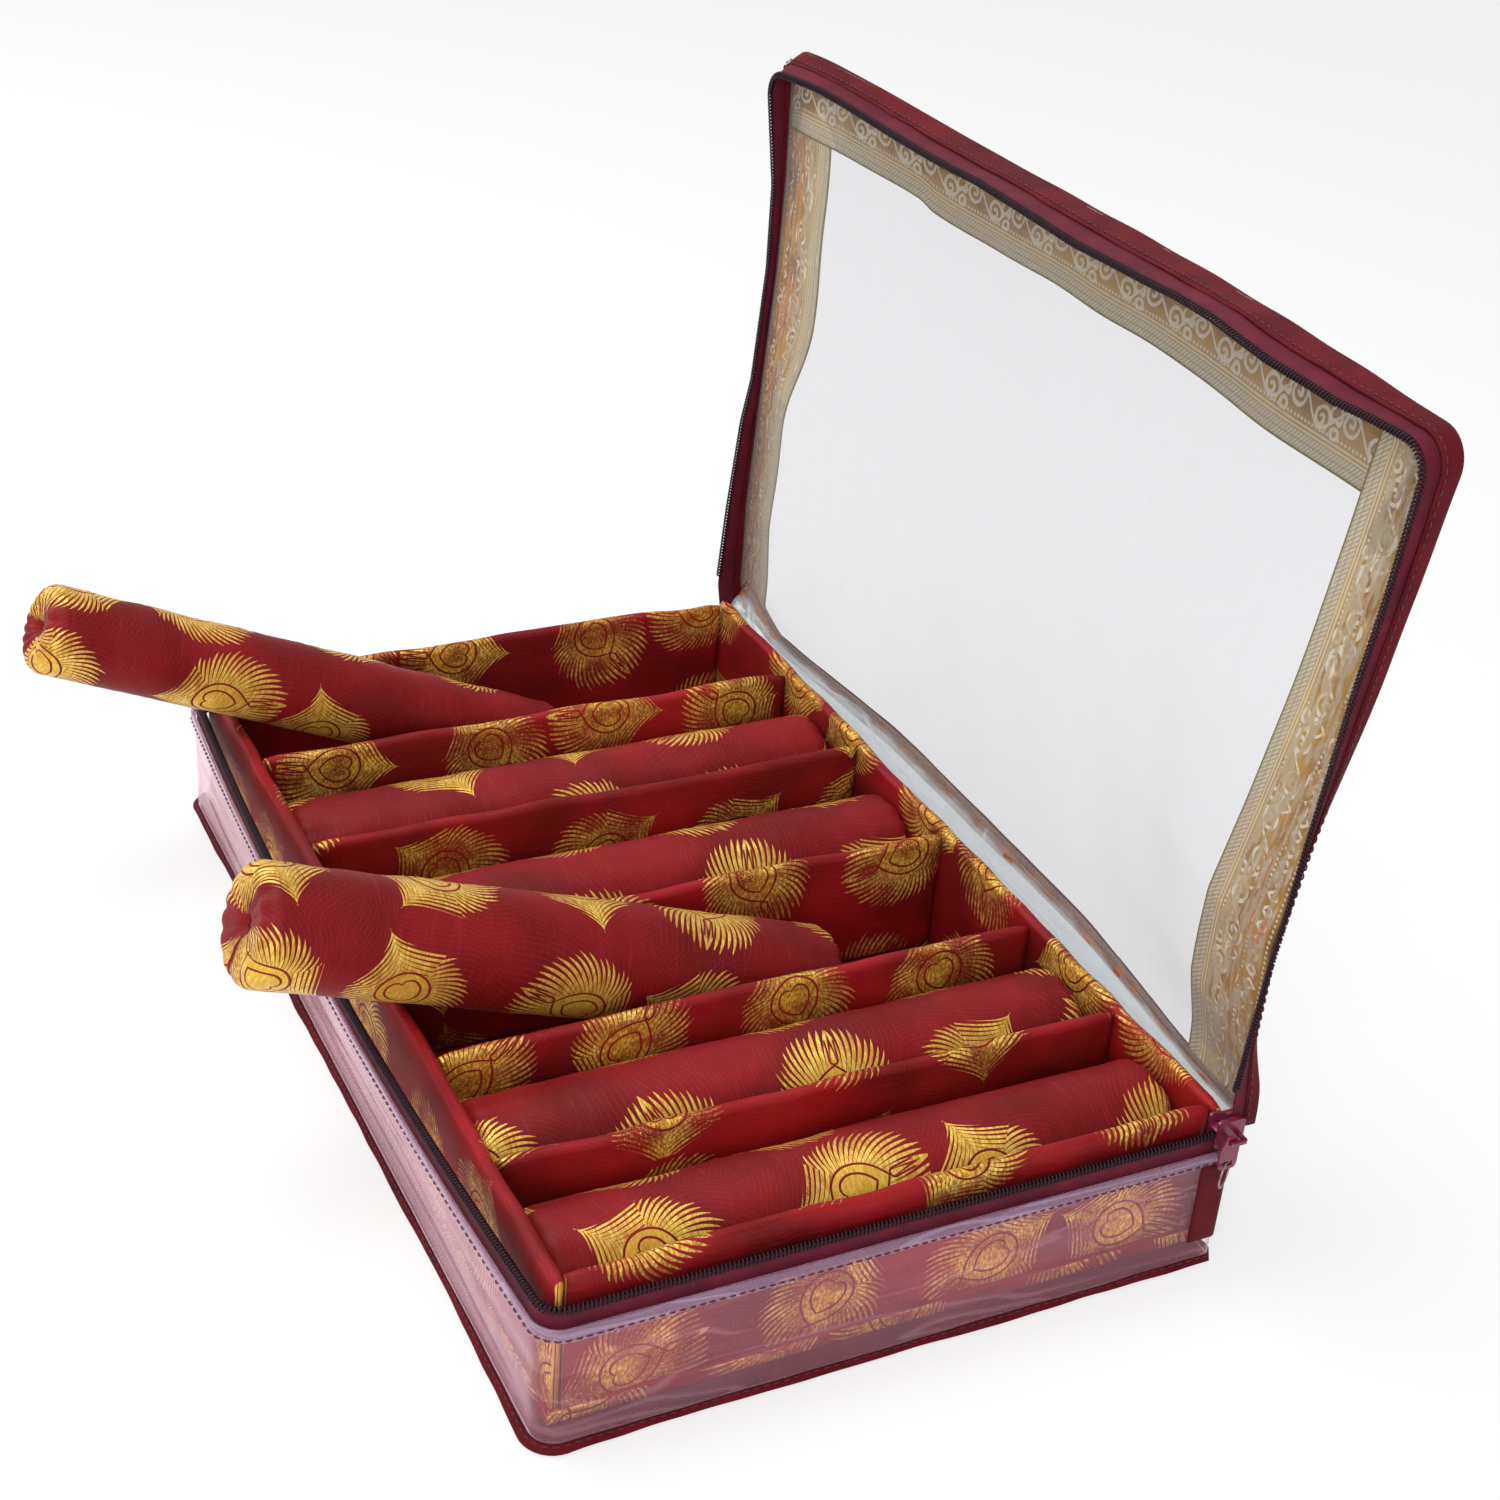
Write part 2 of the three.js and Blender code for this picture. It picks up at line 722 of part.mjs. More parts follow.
function rodTube(name, radius) {
  const outer = radius - rodCloth - seatGap;
  const half = rodLength / 2 - rodEndRound - seatGap;
  const profile = [
    [outer - tubeWall, -half],
    [outer, -half],
    [outer, half],
    [outer - tubeWall, half],
    [outer - tubeWall, -half],
  ].map(([x, y]) => new THREE.Vector2(x, y));
  return named(name, "card", new THREE.LatheGeometry(profile, rodSides));
}

// Tilt at which a rod touches both the tray's floor, with its rounded lower end, and the
// rounded top of the front wall, with its side
function leaningTilt(radius, pivotY) {
  const wallMiddleY = -(trayHalfWidth - trayWallThickness / 2);
  const topRound = trayWallThickness / 2;
  const wallRoundZ = trayTop - topRound;
  const pivotZ = trayFloorTop + seatGap + rodEndRound;
  const reach = pivotY - wallMiddleY;
  let tilt = 0;
  for (let i = 0; i < settlingRounds; i += 1) {
    const axisAbovePivot = (radius - rodEndRound) / Math.cos(tilt);
    const axisAtWall = wallRoundZ + (radius + topRound + seatGap) / Math.cos(tilt);
    tilt = Math.atan2(axisAtWall - pivotZ - axisAbovePivot, reach);
  }
  return tilt;
}

// Each rod's group turns about the centre of the rounding at its lower end
function rod(number) {
  const radius = rodDiameters[number] / 2;
  const group = new THREE.Group();
  group.name = `rod_${number + 1}`;
  const behind = leaningRods.get(number);
  const settled = insideHalfWidth - rodEndRoom - rodEndRound;
  const pivotY = behind === undefined ? settled : insideHalfWidth - behind - rodEndRound;
  const tilt = behind === undefined ? 0 : leaningTilt(radius, pivotY);
  group.position.set(
    compartmentMiddle(number),
    pivotY,
    trayFloorTop + seatGap + rodEndRound,
  );
  group.rotation.x = -tilt;
  const pieces = [
    rodTube(`rod_${number + 1}_tube`, radius),
    rodCover(`rod_${number + 1}_cover`, radius),
  ];
  pieces.forEach((piece) => {
    piece.position.set(0, rodEndRound - rodLength / 2, radius - rodEndRound);
  });
  group.add(...pieces);
  return group;
}

// Slider: local X points out of the end wall, Y along the zip, Z up. The origin lies on
// the meeting line.
function sliderPlateShape() {
  const half = sliderLength / 2;
  const front = sliderFrontHeight / 2;
  const tail = sliderTailHeight / 2;
  const shape = new THREE.Shape();
  shape.moveTo(half, -tail * 0.85);
  shape.lineTo(half, tail * 0.85);
  shape.lineTo(half * 0.85, tail);
  shape.lineTo(0, tail);
  shape.quadraticCurveTo(-half * 0.4, front, -half * 0.7, front);
  shape.quadraticCurveTo(-half, front, -half, front * 0.7);
  shape.lineTo(-half * 0.94, wedgeHeight * 0.5);
  shape.lineTo(-half * 0.94, -wedgeHeight * 0.5);
  shape.lineTo(-half, -front * 0.7);
  shape.quadraticCurveTo(-half, -front, -half * 0.7, -front);
  shape.quadraticCurveTo(-half * 0.4, -front, 0, -tail);
  shape.lineTo(half * 0.85, -tail);
  return shape;
}

function slider() {
  const innerFace = chainWidth / 2 + sliderRunningGap;
  const outerFace = innerFace + sliderPlate;
  const half = sliderLength / 2;
  const tail = sliderTailHeight / 2;
  const plates = [innerFace, -outerFace].map((x) => {
    const plate = new THREE.ExtrudeGeometry(sliderPlateShape(), {
      depth: sliderPlate,
      bevelEnabled: false,
      curveSegments: roundSteps,
    });
    return plate.applyMatrix4(alongX()).translate(x, 0, 0);
  });
  const wedge = new THREE.Shape();
  wedge.moveTo(-half * 0.94, wedgeHeight * 0.5 + meetingGap);
  wedge.lineTo(-half * 0.5, meetingGap);
  wedge.lineTo(-half * 0.94 + wedgeLength, wedgeHeight * 0.5 + meetingGap);
  wedge.lineTo(-half * 0.5, wedgeHeight + meetingGap);
  const bridge = new THREE.ExtrudeGeometry(wedge, {
    depth: 2 * innerFace + sliderPlate,
    bevelEnabled: false,
  });
  bridge.applyMatrix4(alongX()).translate(-innerFace - sliderPlate / 2, 0, 0);
  const rails = [];
  for (const side of [-1, 1]) {
    for (const end of [-1, 1]) {
      const x = [side * railSlot, side * (innerFace + sliderPlate / 2)].sort((p, q) => p - q);
      const z = [end * tail, end * (tail - railHeight)].sort((p, q) => p - q);
      rails.push(block([x[0], 0, z[0]], [x[1], half * 0.85, z[1]]));
    }
  }
  const crown = crownGeometry(outerFace - sliderPlate / 2, outerFace + crownRise);
  const mesh = named("slider_body", "slider", joined([...plates, bridge, ...rails, crown]));
  return mesh;
}

// Arch on the slider's outer plate, along the zip
function crownGeometry(rootX, topX) {
  const half = crownSpan / 2;
  const shape = new THREE.Shape();
  shape.moveTo(-half, rootX);
  shape.lineTo(-half, topX - crownBar);
  shape.quadraticCurveTo(-half, topX, -half + crownBar, topX);
  shape.lineTo(half - crownBar, topX);
  shape.quadraticCurveTo(half, topX, half, topX - crownBar);
  shape.lineTo(half, rootX);
  shape.lineTo(half - crownBar, rootX);
  shape.lineTo(half - crownBar, topX - crownBar);
  shape.lineTo(-half + crownBar, topX - crownBar);
  shape.lineTo(-half + crownBar, rootX);
  const geometry = new THREE.ExtrudeGeometry(shape, {
    depth: crownBar,
    bevelEnabled: false,
    curveSegments: roundSteps,
  });
  geometry.translate(0, 0, -crownBar / 2);
  const drawnAsYX = new THREE.Matrix4().set(0, 1, 0, 0, 1, 0, 0, 0, 0, 0, -1, 0, 0, 0, 0, 1);
  return geometry.applyMatrix4(drawnAsYX);
}

// Flat pull that hangs from the crown's front leg. Local origin: middle of its eye.
function pullerTab() {
  const half = tabWidth / 2;
  const top = tabEyeRadius * 2;
  const bottom = top - tabLength;
  const slotZ = bottom + tabSlotMargin;
  const shape = new THREE.Shape();
  shape.moveTo(-half * 0.5, top);
  shape.lineTo(half * 0.5, top);
  shape.quadraticCurveTo(half * 0.7, 0, half, -top);
  shape.lineTo(half, bottom + half * 0.6);
  shape.quadraticCurveTo(half, bottom, half * 0.5, bottom);
  shape.lineTo(-half * 0.5, bottom);
  shape.quadraticCurveTo(-half, bottom, -half, bottom + half * 0.6);
  shape.lineTo(-half, -top);
  shape.quadraticCurveTo(-half * 0.7, 0, -half * 0.5, top);
  const eye = new THREE.Path().absarc(0, 0, tabEyeRadius, 0, 2 * Math.PI, false);
  const slot = new THREE.Path();
  slot.moveTo(-tabSlotWidth / 2, slotZ - tabSlotHeight / 2);
  slot.lineTo(tabSlotWidth / 2, slotZ - tabSlotHeight / 2);
  slot.lineTo(tabSlotWidth / 2, slotZ + tabSlotHeight / 2);
  slot.lineTo(-tabSlotWidth / 2, slotZ + tabSlotHeight / 2);
  shape.holes.push(eye, slot);
  const geometry = new THREE.ExtrudeGeometry(shape, {
    depth: tabThickness,
    bevelEnabled: false,
    curveSegments: roundSteps * 2,
  });
  geometry.applyMatrix4(alongX()).translate(-tabThickness / 2, 0, 0);
  return named("puller_tab", "slider", geometry);
}

// Wire ring through the pull's slot. Local origin: where the wire passes the slot.
function pullerRing() {
  const profile = [];
  for (let i = 0; i <= wireSides; i += 1) {
    const turn = (2 * Math.PI * i) / wireSides;
    const across = ringRadius + ringWire * Math.cos(turn);
    profile.push(new THREE.Vector2(across, ringWire * Math.sin(turn)));
  }
  const geometry = new THREE.LatheGeometry(profile, wireSteps);
  geometry.translate(0, 0, -ringRadius);
  return named("puller_ring", "wire", geometry);
}

function zipPull() {
  const group = new THREE.Group();
  const outerFace = chainWidth / 2 + sliderRunningGap + sliderPlate;
  group.position.set(
    halfLength - tapeInset - tapeThickness / 2,
    hingeSetback - sliderFromHinge,
    zipHeight,
  );
  const pull = new THREE.Group();
  pull.name = "puller";
  pull.position.set(outerFace + tabFromPlate, -crownSpan / 2 + crownBar / 2, 0);
  const ring = new THREE.Group();
  ring.name = "ring";
  ring.position.set(0, 0, 2 * tabEyeRadius - tabLength + tabSlotMargin);
  ring.rotation.z = -ringTurn * degrees;
  ring.add(pullerRing());
  pull.add(pullerTab(), ring);
  group.add(slider(), pull);
  return group;
}

const box = new THREE.Group();
box.add(basePanel(), baseBinding(), caseFilm(), filmHem(), backWall());
box.add(lowerTape(), lowerChain(), lid(), tray(), zipPull());
for (let number = 0; number < rodDiameters.length; number += 1) {
  box.add(rod(number));
}

export default box;
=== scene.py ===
import math

import bmesh
import bpy
import numpy as np
from mathutils import Matrix, Vector


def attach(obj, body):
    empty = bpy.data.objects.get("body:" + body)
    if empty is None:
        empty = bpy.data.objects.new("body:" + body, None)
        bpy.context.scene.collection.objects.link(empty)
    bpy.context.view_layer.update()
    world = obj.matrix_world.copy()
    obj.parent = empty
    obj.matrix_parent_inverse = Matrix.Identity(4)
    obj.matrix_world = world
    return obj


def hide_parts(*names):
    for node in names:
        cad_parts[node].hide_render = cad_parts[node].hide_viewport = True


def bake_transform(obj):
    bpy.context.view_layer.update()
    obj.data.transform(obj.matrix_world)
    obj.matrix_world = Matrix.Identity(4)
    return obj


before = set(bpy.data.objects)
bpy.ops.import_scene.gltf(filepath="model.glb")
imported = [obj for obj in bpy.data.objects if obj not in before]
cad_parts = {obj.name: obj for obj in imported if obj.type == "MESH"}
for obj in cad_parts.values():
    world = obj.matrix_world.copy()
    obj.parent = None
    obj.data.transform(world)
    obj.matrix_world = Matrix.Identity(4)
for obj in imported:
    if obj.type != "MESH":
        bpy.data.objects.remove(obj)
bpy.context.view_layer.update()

MM = 0.001

# The case, in mm.
HALF_LENGTH = 192.0  # outside of the clear end walls
CASE_FRONT = 119.0
FILM_BACK = 114.8
FRONT_RADIUS = 8.0
RIM_BOW = 8.0
RIM_HEIGHT = 53.0
LEAN_FOOT = 10.3
FILM_FOOT = 1.8
FILM_TOP = 45.6
HEM_FOOT = 41.0
COIL_HEIGHT = 51.1

# The lid, in mm and degrees. Heights are over the line where the shut lid meets the case.
HINGE_Y = 117.0
HINGE_HALF = 186.3
LID_ANGLE = 91.5  # open
LID_TWIST = 2.0  # the near end stands this much further open, and the far end less
LID_REACH = 234.0
LID_BOW = 5.0
LID_RADIUS = 12.0
LID_DEPTH = 24.0
LID_SINK_FOOT = 3.5
LID_SINK_SHARE = 0.61
PANEL_HALF = 190.7
LID_COIL_HEIGHT = 1.9

# The tray and the rods, in mm and degrees.
TRAY_HALF_LENGTH = 186.3
TRAY_HALF_DEPTH = 114.3
TRAY_FOOT = 10.1
WALL_THICKNESS, WALL_TOP = 4.5, 60
DIVIDER_THICKNESS, DIVIDER_TOP = 5.0, 58.5
BOARD_REACH = 109.6
DIVIDERS = (129.2, 74.6, 10.9, -56.8, -120.1)
ROD_LENGTH = 219.0
ROD_DIAMETERS = (44, 44, 41, 43, 43, 34)
ROD_PIVOTS = (
    (156.85, 101.5, 18.1), (101.9, 101.5, 18.1), (42.75, 33, 18.1),
    (-22.95, 101.5, 18.1), (-88.45, 101.5, 18.1), (-152.3, 7, 18.1),
)
ROD_TILTS = {3: 19.286, 6: 23.207}  # of the two that lean on the front wall
PIVOT_TO_MIDDLE = 101.5  # along the rod
PIVOT_HEIGHT = 8  # above the rod's underside


def link(obj):
    bpy.context.scene.collection.objects.link(obj)


# Camera, at the photograph's place.


def make_camera():
    right = Vector((0.42968, 0.90022, 0.07057))
    up = Vector((-0.47789, 0.16039, 0.86365))
    back = Vector((0.76616, -0.40482, 0.49912))
    data = bpy.data.cameras.new("camera")
    data.lens, data.sensor_width = 59.76, 36
    data.clip_start, data.clip_end = 0.05, 20
    camera = bpy.data.objects.new("camera", data)
    turn = Matrix((right, up, back)).transposed().to_4x4()
    camera.matrix_world = Matrix.Translation(Vector((673.8, -323.05, 540.5)) * MM) @ turn
    link(camera)
    bpy.context.scene.camera = camera


# Numbers and lines.


class Unevenness:
    """Made-up unevenness of hand-made cloth: a smooth sum of waves over a surface, between about -1 and 1."""

    def __init__(self, seed, length, stretch=1.0, waves=8):
        chance = np.random.default_rng(seed)
        turn = chance.uniform(0, 2 * math.pi, waves)
        size = 2 * math.pi / (length * chance.uniform(0.6, 1.6, waves))
        self.along = size * np.cos(turn) / stretch
        self.across = size * np.sin(turn)
        self.phase = chance.uniform(0, 2 * math.pi, waves)

    def __call__(self, u, v=0.0):
        u, v = np.broadcast_arrays(np.asarray(u, float), np.asarray(v, float))
        waves = np.sin(u[..., None] * self.along + v[..., None] * self.across + self.phase)
        return waves.sum(-1) / math.sqrt(2 * len(self.phase))


def eased(value, low, high):
    """Goes smoothly from 0 at low to 1 at high."""
    share = np.clip((np.asarray(value, float) - low) / (high - low), 0, 1)
    return share * share * (3 - 2 * share)


def joined(*values):
    """Points or cloth places from arrays of their coordinates."""
    return np.stack(np.broadcast_arrays(*values), -1)


def running(steps):
    """How far along each end of the steps is."""
    return np.concatenate([[0], np.cumsum(steps)])


def distances(points):
    """How far along a line of points each point is."""
    return running(np.linalg.norm(np.diff(points, axis=0), axis=1))


def between(reach, along, values):
    """The values of a line, given at the distances along it, at other distances."""
    return np.stack([np.interp(reach, along, values[:, k]) for k in range(3)], -1)


# Meshes from grids of points.


class Shape:
    """Gathers grids of points, in mm, into one mesh. Each corner keeps its place on the cut cloth, in mm."""

    def __init__(self):
        self.points, self.faces, self.cloth, self.count = [], [], [], 0

    def grid(self, points, cloth=None, around=False, turned=False):
        """points is (rows, columns, 3). With around, the last column joins the first, and cloth has one more
        column."""
        rows, columns = points.shape[:2]
        if cloth is None:
            cloth = laid_flat(points, around)
        numbers = self.count + np.arange(rows * columns).reshape(rows, columns)
        last = columns if around else columns - 1
        i, j = (n.ravel() for n in np.meshgrid(np.arange(rows - 1), np.arange(last), indexing="ij"))
        k = (j + 1) % columns
        corners = [(i, j, j), (i + 1, j, j), (i + 1, k, j + 1), (i, k, j + 1)]
        if turned:
            corners.reverse()
        faces = np.stack([numbers[r, c] for r, c, _ in corners], 1)
        places = np.stack([cloth[r, c] for r, _, c in corners], 1)
        return self._keep(points.reshape(-1, 3), faces, places)

    def cap(self, ring, turned=False):
        """Closes a ring of points with a fan."""
        count, cloth = len(ring), ring[:, :2]
        at = self.count + np.arange(count)
        hub = np.full(count, self.count + count)
        faces = np.stack([at, np.roll(at, -1), hub, hub], 1)
        places = np.stack([cloth, np.roll(cloth, -1, 0)] + [np.tile(cloth.mean(0), (count, 1))] * 2, 1)
        if turned:
            faces, places = faces[:, [1, 0, 2, 3]], places[:, [1, 0, 2, 3]]
        return self._keep(np.vstack([ring, ring.mean(0)]), faces, places)

    def tube(self, points, cloth=None, turned=False):
        """A closed section run along a path, with both ends shut."""
        self.grid(points, cloth, around=True, turned=turned)
        return self.cap(points[0], turned=turned).cap(points[-1], turned=not turned)

    def _keep(self, points, faces, places):
        self.points.append(points)
        self.faces.extend(faces.tolist())
        self.cloth.extend(places.tolist())
        self.count += len(points)
        return self

    def made(self, name, material, body, slot, node=None, thickness=0, offset=0.0):
        """The mesh as an object that rides on a body and stands for a CAD node; thickness is in mm."""
        mesh = bpy.data.meshes.new(name)
        faces = [f[:3] if f[2] == f[3] else f for f in self.faces]
        mesh.from_pydata((np.vstack(self.points) * MM).tolist(), [], faces)
        places = [place for c, f in zip(self.cloth, faces) for place in c[: len(f)]]
        mesh.uv_layers.new(name="Cloth").data.foreach_set("uv", np.array(places, np.float32).ravel())
        mesh.materials.append(material)
        mesh.polygons.foreach_set("use_smooth", [True] * len(faces))
        obj = bpy.data.objects.new(name, mesh)
        link(obj)
        weld(obj)
        if body:
            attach(obj, body)
        if thickness:
            step = obj.modifiers.new("thickness", "SOLIDIFY")
            step.thickness, step.offset = thickness * MM, offset
        if node:
            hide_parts(node)
        return obj


def weld(obj, near=0.02 * MM):
    """Joins points that lie together, and turns all faces outward."""
    work = bmesh.new()
    work.from_mesh(obj.data)
    bmesh.ops.remove_doubles(work, verts=work.verts, dist=near)
    bmesh.ops.recalc_face_normals(work, faces=work.faces)
    work.to_mesh(obj.data)
    work.free()


def laid_flat(points, around):
    """Cloth places by the distances along the two ways of a grid."""
    wide = np.concatenate([points, points[:, :1]], 1) if around else points
    down = np.linalg.norm(np.diff(wide, axis=0), axis=2).mean(1)
    over = np.linalg.norm(np.diff(wide, axis=1), axis=2).mean(0)
    return np.stack(np.meshgrid(running(down), running(over), indexing="ij"), 2)


# Paths round the case and the lid.


class Rim:
    """A line seen from above and the way out from it at each place, in mm."""

    def __init__(self, at, out):
        self.at, self.out, self.along = at, out, distances(at)

    def outward(self, up=0.0):
        return np.column_stack([self.out, np.full(len(self.out), up)])


def rounded_rim(half, front, back, radius, spacing=3.0):
    """The line round the far end, the front and the near end."""

    def spread(start, end, length, more=0, endpoint=False):
        steps = max(2, math.ceil(length / spacing)) + more
        return np.linspace(start, end, steps, endpoint=endpoint)[:, None]

    depth = back + front - radius
    turn = spread(0, math.pi / 2, radius * math.pi / 2, 4)
    width = spread(radius - half, half - radius, 2 * (half - radius))
    stretches = (
        (-half, spread(back, radius - front, depth), -1.0, 0.0, 0),
        (radius - half, radius - front, -np.cos(turn), -np.sin(turn), radius),
        (width, -front, 0.0, -1.0, 0),
        (half - radius, radius - front, np.sin(turn), -np.cos(turn), radius),
        (half, spread(radius - front, back, depth, 1, endpoint=True), 1.0, 0.0, 0),
    )
    rows = [
        np.concatenate(np.broadcast_arrays(x + away * out_x, y + away * out_y, out_x, out_y), 1)
        for x, y, out_x, out_y, away in stretches
    ]
    table = np.vstack(rows)
    return Rim(table[:, :2], table[:, 2:])


def case_bulge(x, z):
    lean = np.clip((z - LEAN_FOOT) / (RIM_HEIGHT - LEAN_FOOT), 0, 1)
    return RIM_BOW * lean * (1 - (x / HALF_LENGTH) ** 2)


def on_case(rim, out, z):
    """Points of the case at each place of the rim: out and z are one value or (places, n), in mm."""
    x = rim.at[:, :1] + rim.out[:, :1] * out
    y = rim.at[:, 1:] + rim.out[:, 1:] * out - case_bulge(rim.at[:, :1], z)
    return joined(x, y, z)


# How the soft lid leans at its two ends: at each share of the way from the hinge to the free edge,
# how far the zip line and the clear panel move along the lid's depth, in mm.
NEAR_LEAN = (
    (0, 0.06, 0.14, 0.28, 0.45, 0.6, 0.8, 1.0),
    (-3, -6, -8, -7.5, -5.5, -2, 1.5, 3),
    (-9, -11, -16, -20, -17, -13.5, -9.5, -6),
)
FAR_LEAN = (
    (0, 0.05, 0.2, 0.37, 0.45, 0.65, 0.8, 1.0),
    (-6, -7.5, -5, -1, 2.5, 6, 6, 0.5),
    (-9, -11, -12, -11, -10.5, -9, -9, -11),
)

# How far the zip line of the free edge stands off a smooth bow, at places along the length, in mm.
ZIP_WANDER = (
    (-192, -150, -100, -40, 20, 75, 92, 120, 150, 192),
    (0.5, 2.5, 2.8, 3.8, 1.5, 3.3, 2.4, -2.0, -4.0, -2.0),
)


def leaned(x, away, raised):
    """Moves points of the lid as its floppy ends and free edge hang."""
    side, share = x / HALF_LENGTH, away / LID_REACH
    deep = np.clip((raised - 2) / (14 + 8 * np.clip(share, 0, 1)), 0, 1.1)
    near, far = eased(side, 0.3, 0.95), eased(-side, 0.25, 0.9)
    top = eased(share, 0.6, 1.0)

    def lean(places, zip_line, panel):
        return np.interp(share, places, zip_line) * (1 - deep) + np.interp(share, places, panel) * deep

    flare = 3.0 * near * (1 - 2 * deep) * eased(share, 0.02, 0.15) * (1 - eased(share, 0.35, 0.7))
    wander = np.interp(x, *ZIP_WANDER) * np.clip(1 - deep, 0, 1)
    lift = top * (far * 8 * deep - (1 - far) * (1 - near) * (5.5 - 3.5 * deep) + wander)
    return x + flare, away + lift, raised + near * lean(*NEAR_LEAN) + far * lean(*FAR_LEAN)


def on_lid(x, away, height):
    """A point of the shut lid, away from the hinge and above the meeting line, as the open lid holds it."""
    x, away, height = np.broadcast_arrays(*[np.asarray(a, float) for a in (x, away, height)])
    share = LID_SINK_SHARE + (1 - LID_SINK_SHARE) * np.clip(away / LID_REACH, 0, 1)
    raised = np.where(height > LID_SINK_FOOT, LID_SINK_FOOT + (height - LID_SINK_FOOT) * share, height)
    x, away, raised = leaned(x, away, raised)
    turn = np.radians(-(LID_ANGLE + LID_TWIST * x / HALF_LENGTH))
    y = HINGE_Y - away * np.cos(turn) - raised * np.sin(turn)
    z = RIM_HEIGHT - away * np.sin(turn) + raised * np.cos(turn)
    return joined(x, y, z)


def lid_bow(x):
    return LID_BOW * (1 - (x / HALF_LENGTH) ** 2)


def on_lid_rim(rim, out, height):
    x = rim.at[:, :1] + rim.out[:, :1] * out
    y = rim.at[:, 1:] + rim.out[:, 1:] * out - lid_bow(rim.at[:, :1])
    return on_lid(x, -y, height)


def loop_band(inner, outer, low, high, round_by=0.45):
    """A closed section of (out, up) points: a rectangle with its corners rounded."""
    r = min(round_by, (outer - inner) / 2.01, (high - low) / 2.01)
    left, right, foot, head = inner + r, outer - r, low + r, high - r
    corners = ((right, foot, -90), (right, head, 0), (left, head, 90), (left, foot, 180))
    points = []
    for x, z, start in corners:
        for angle in np.radians(np.linspace(start, start + 90, 4)):
            points.append((x + r * math.cos(angle), z + r * math.sin(angle)))
    return np.array(points)


def swept(rim, surface, section, shift):
    """Runs a section of (out, up) points along a rim; shift(along, around) moves them."""
    out_by, up_by = shift(rim.along[:, None], np.arange(len(section))[None, :])
    return surface(rim, section[None, :, 0] + out_by, section[None, :, 1] + up_by)


def rippled(wave, out_by, up_by, further, spread=1.0):
    """A shift that follows one unevenness in and out, and another stretch of it up and down."""
    return lambda along, around: (out_by * wave(along, around * spread), up_by * wave(along + further, 0.0))


# Materials.


def linear(*colour):
    """A colour given as 0 to 255 on screen, as the shaders want it."""
    share = [c / 255 for c in colour]
    return tuple(c / 12.92 if c <= 0.04045 else ((c + 0.055) / 1.055) ** 2.4 for c in share) + (1.0,)


def operator(operation, swapped=False):
    def work(self, *others):
        values = (*others, self) if swapped else (self, *others)
        return worked(self.tree, operation, *values)

    return work


class Number:
    """A number that a material works out at each point, written with ordinary arithmetic."""

    __add__ = __radd__ = operator("ADD")
    __sub__, __rsub__ = operator("SUBTRACT"), operator("SUBTRACT", swapped=True)
    __mul__, __truediv__ = operator("MULTIPLY"), operator("DIVIDE")
    __pow__, __abs__ = operator("POWER"), operator("ABSOLUTE")

    def __init__(self, tree, socket):
        self.tree, self.socket = tree, socket


def worked(tree, operation, *values):
    """One step of arithmetic in a material."""
    node = tree.nodes.new("ShaderNodeMath")
    node.operation = operation
    for place, value in enumerate(values):
        if isinstance(value, Number):
            tree.links.new(value.socket, node.inputs[place])
        else:
            node.inputs[place].default_value = value
    return Number(tree, node.outputs[0])


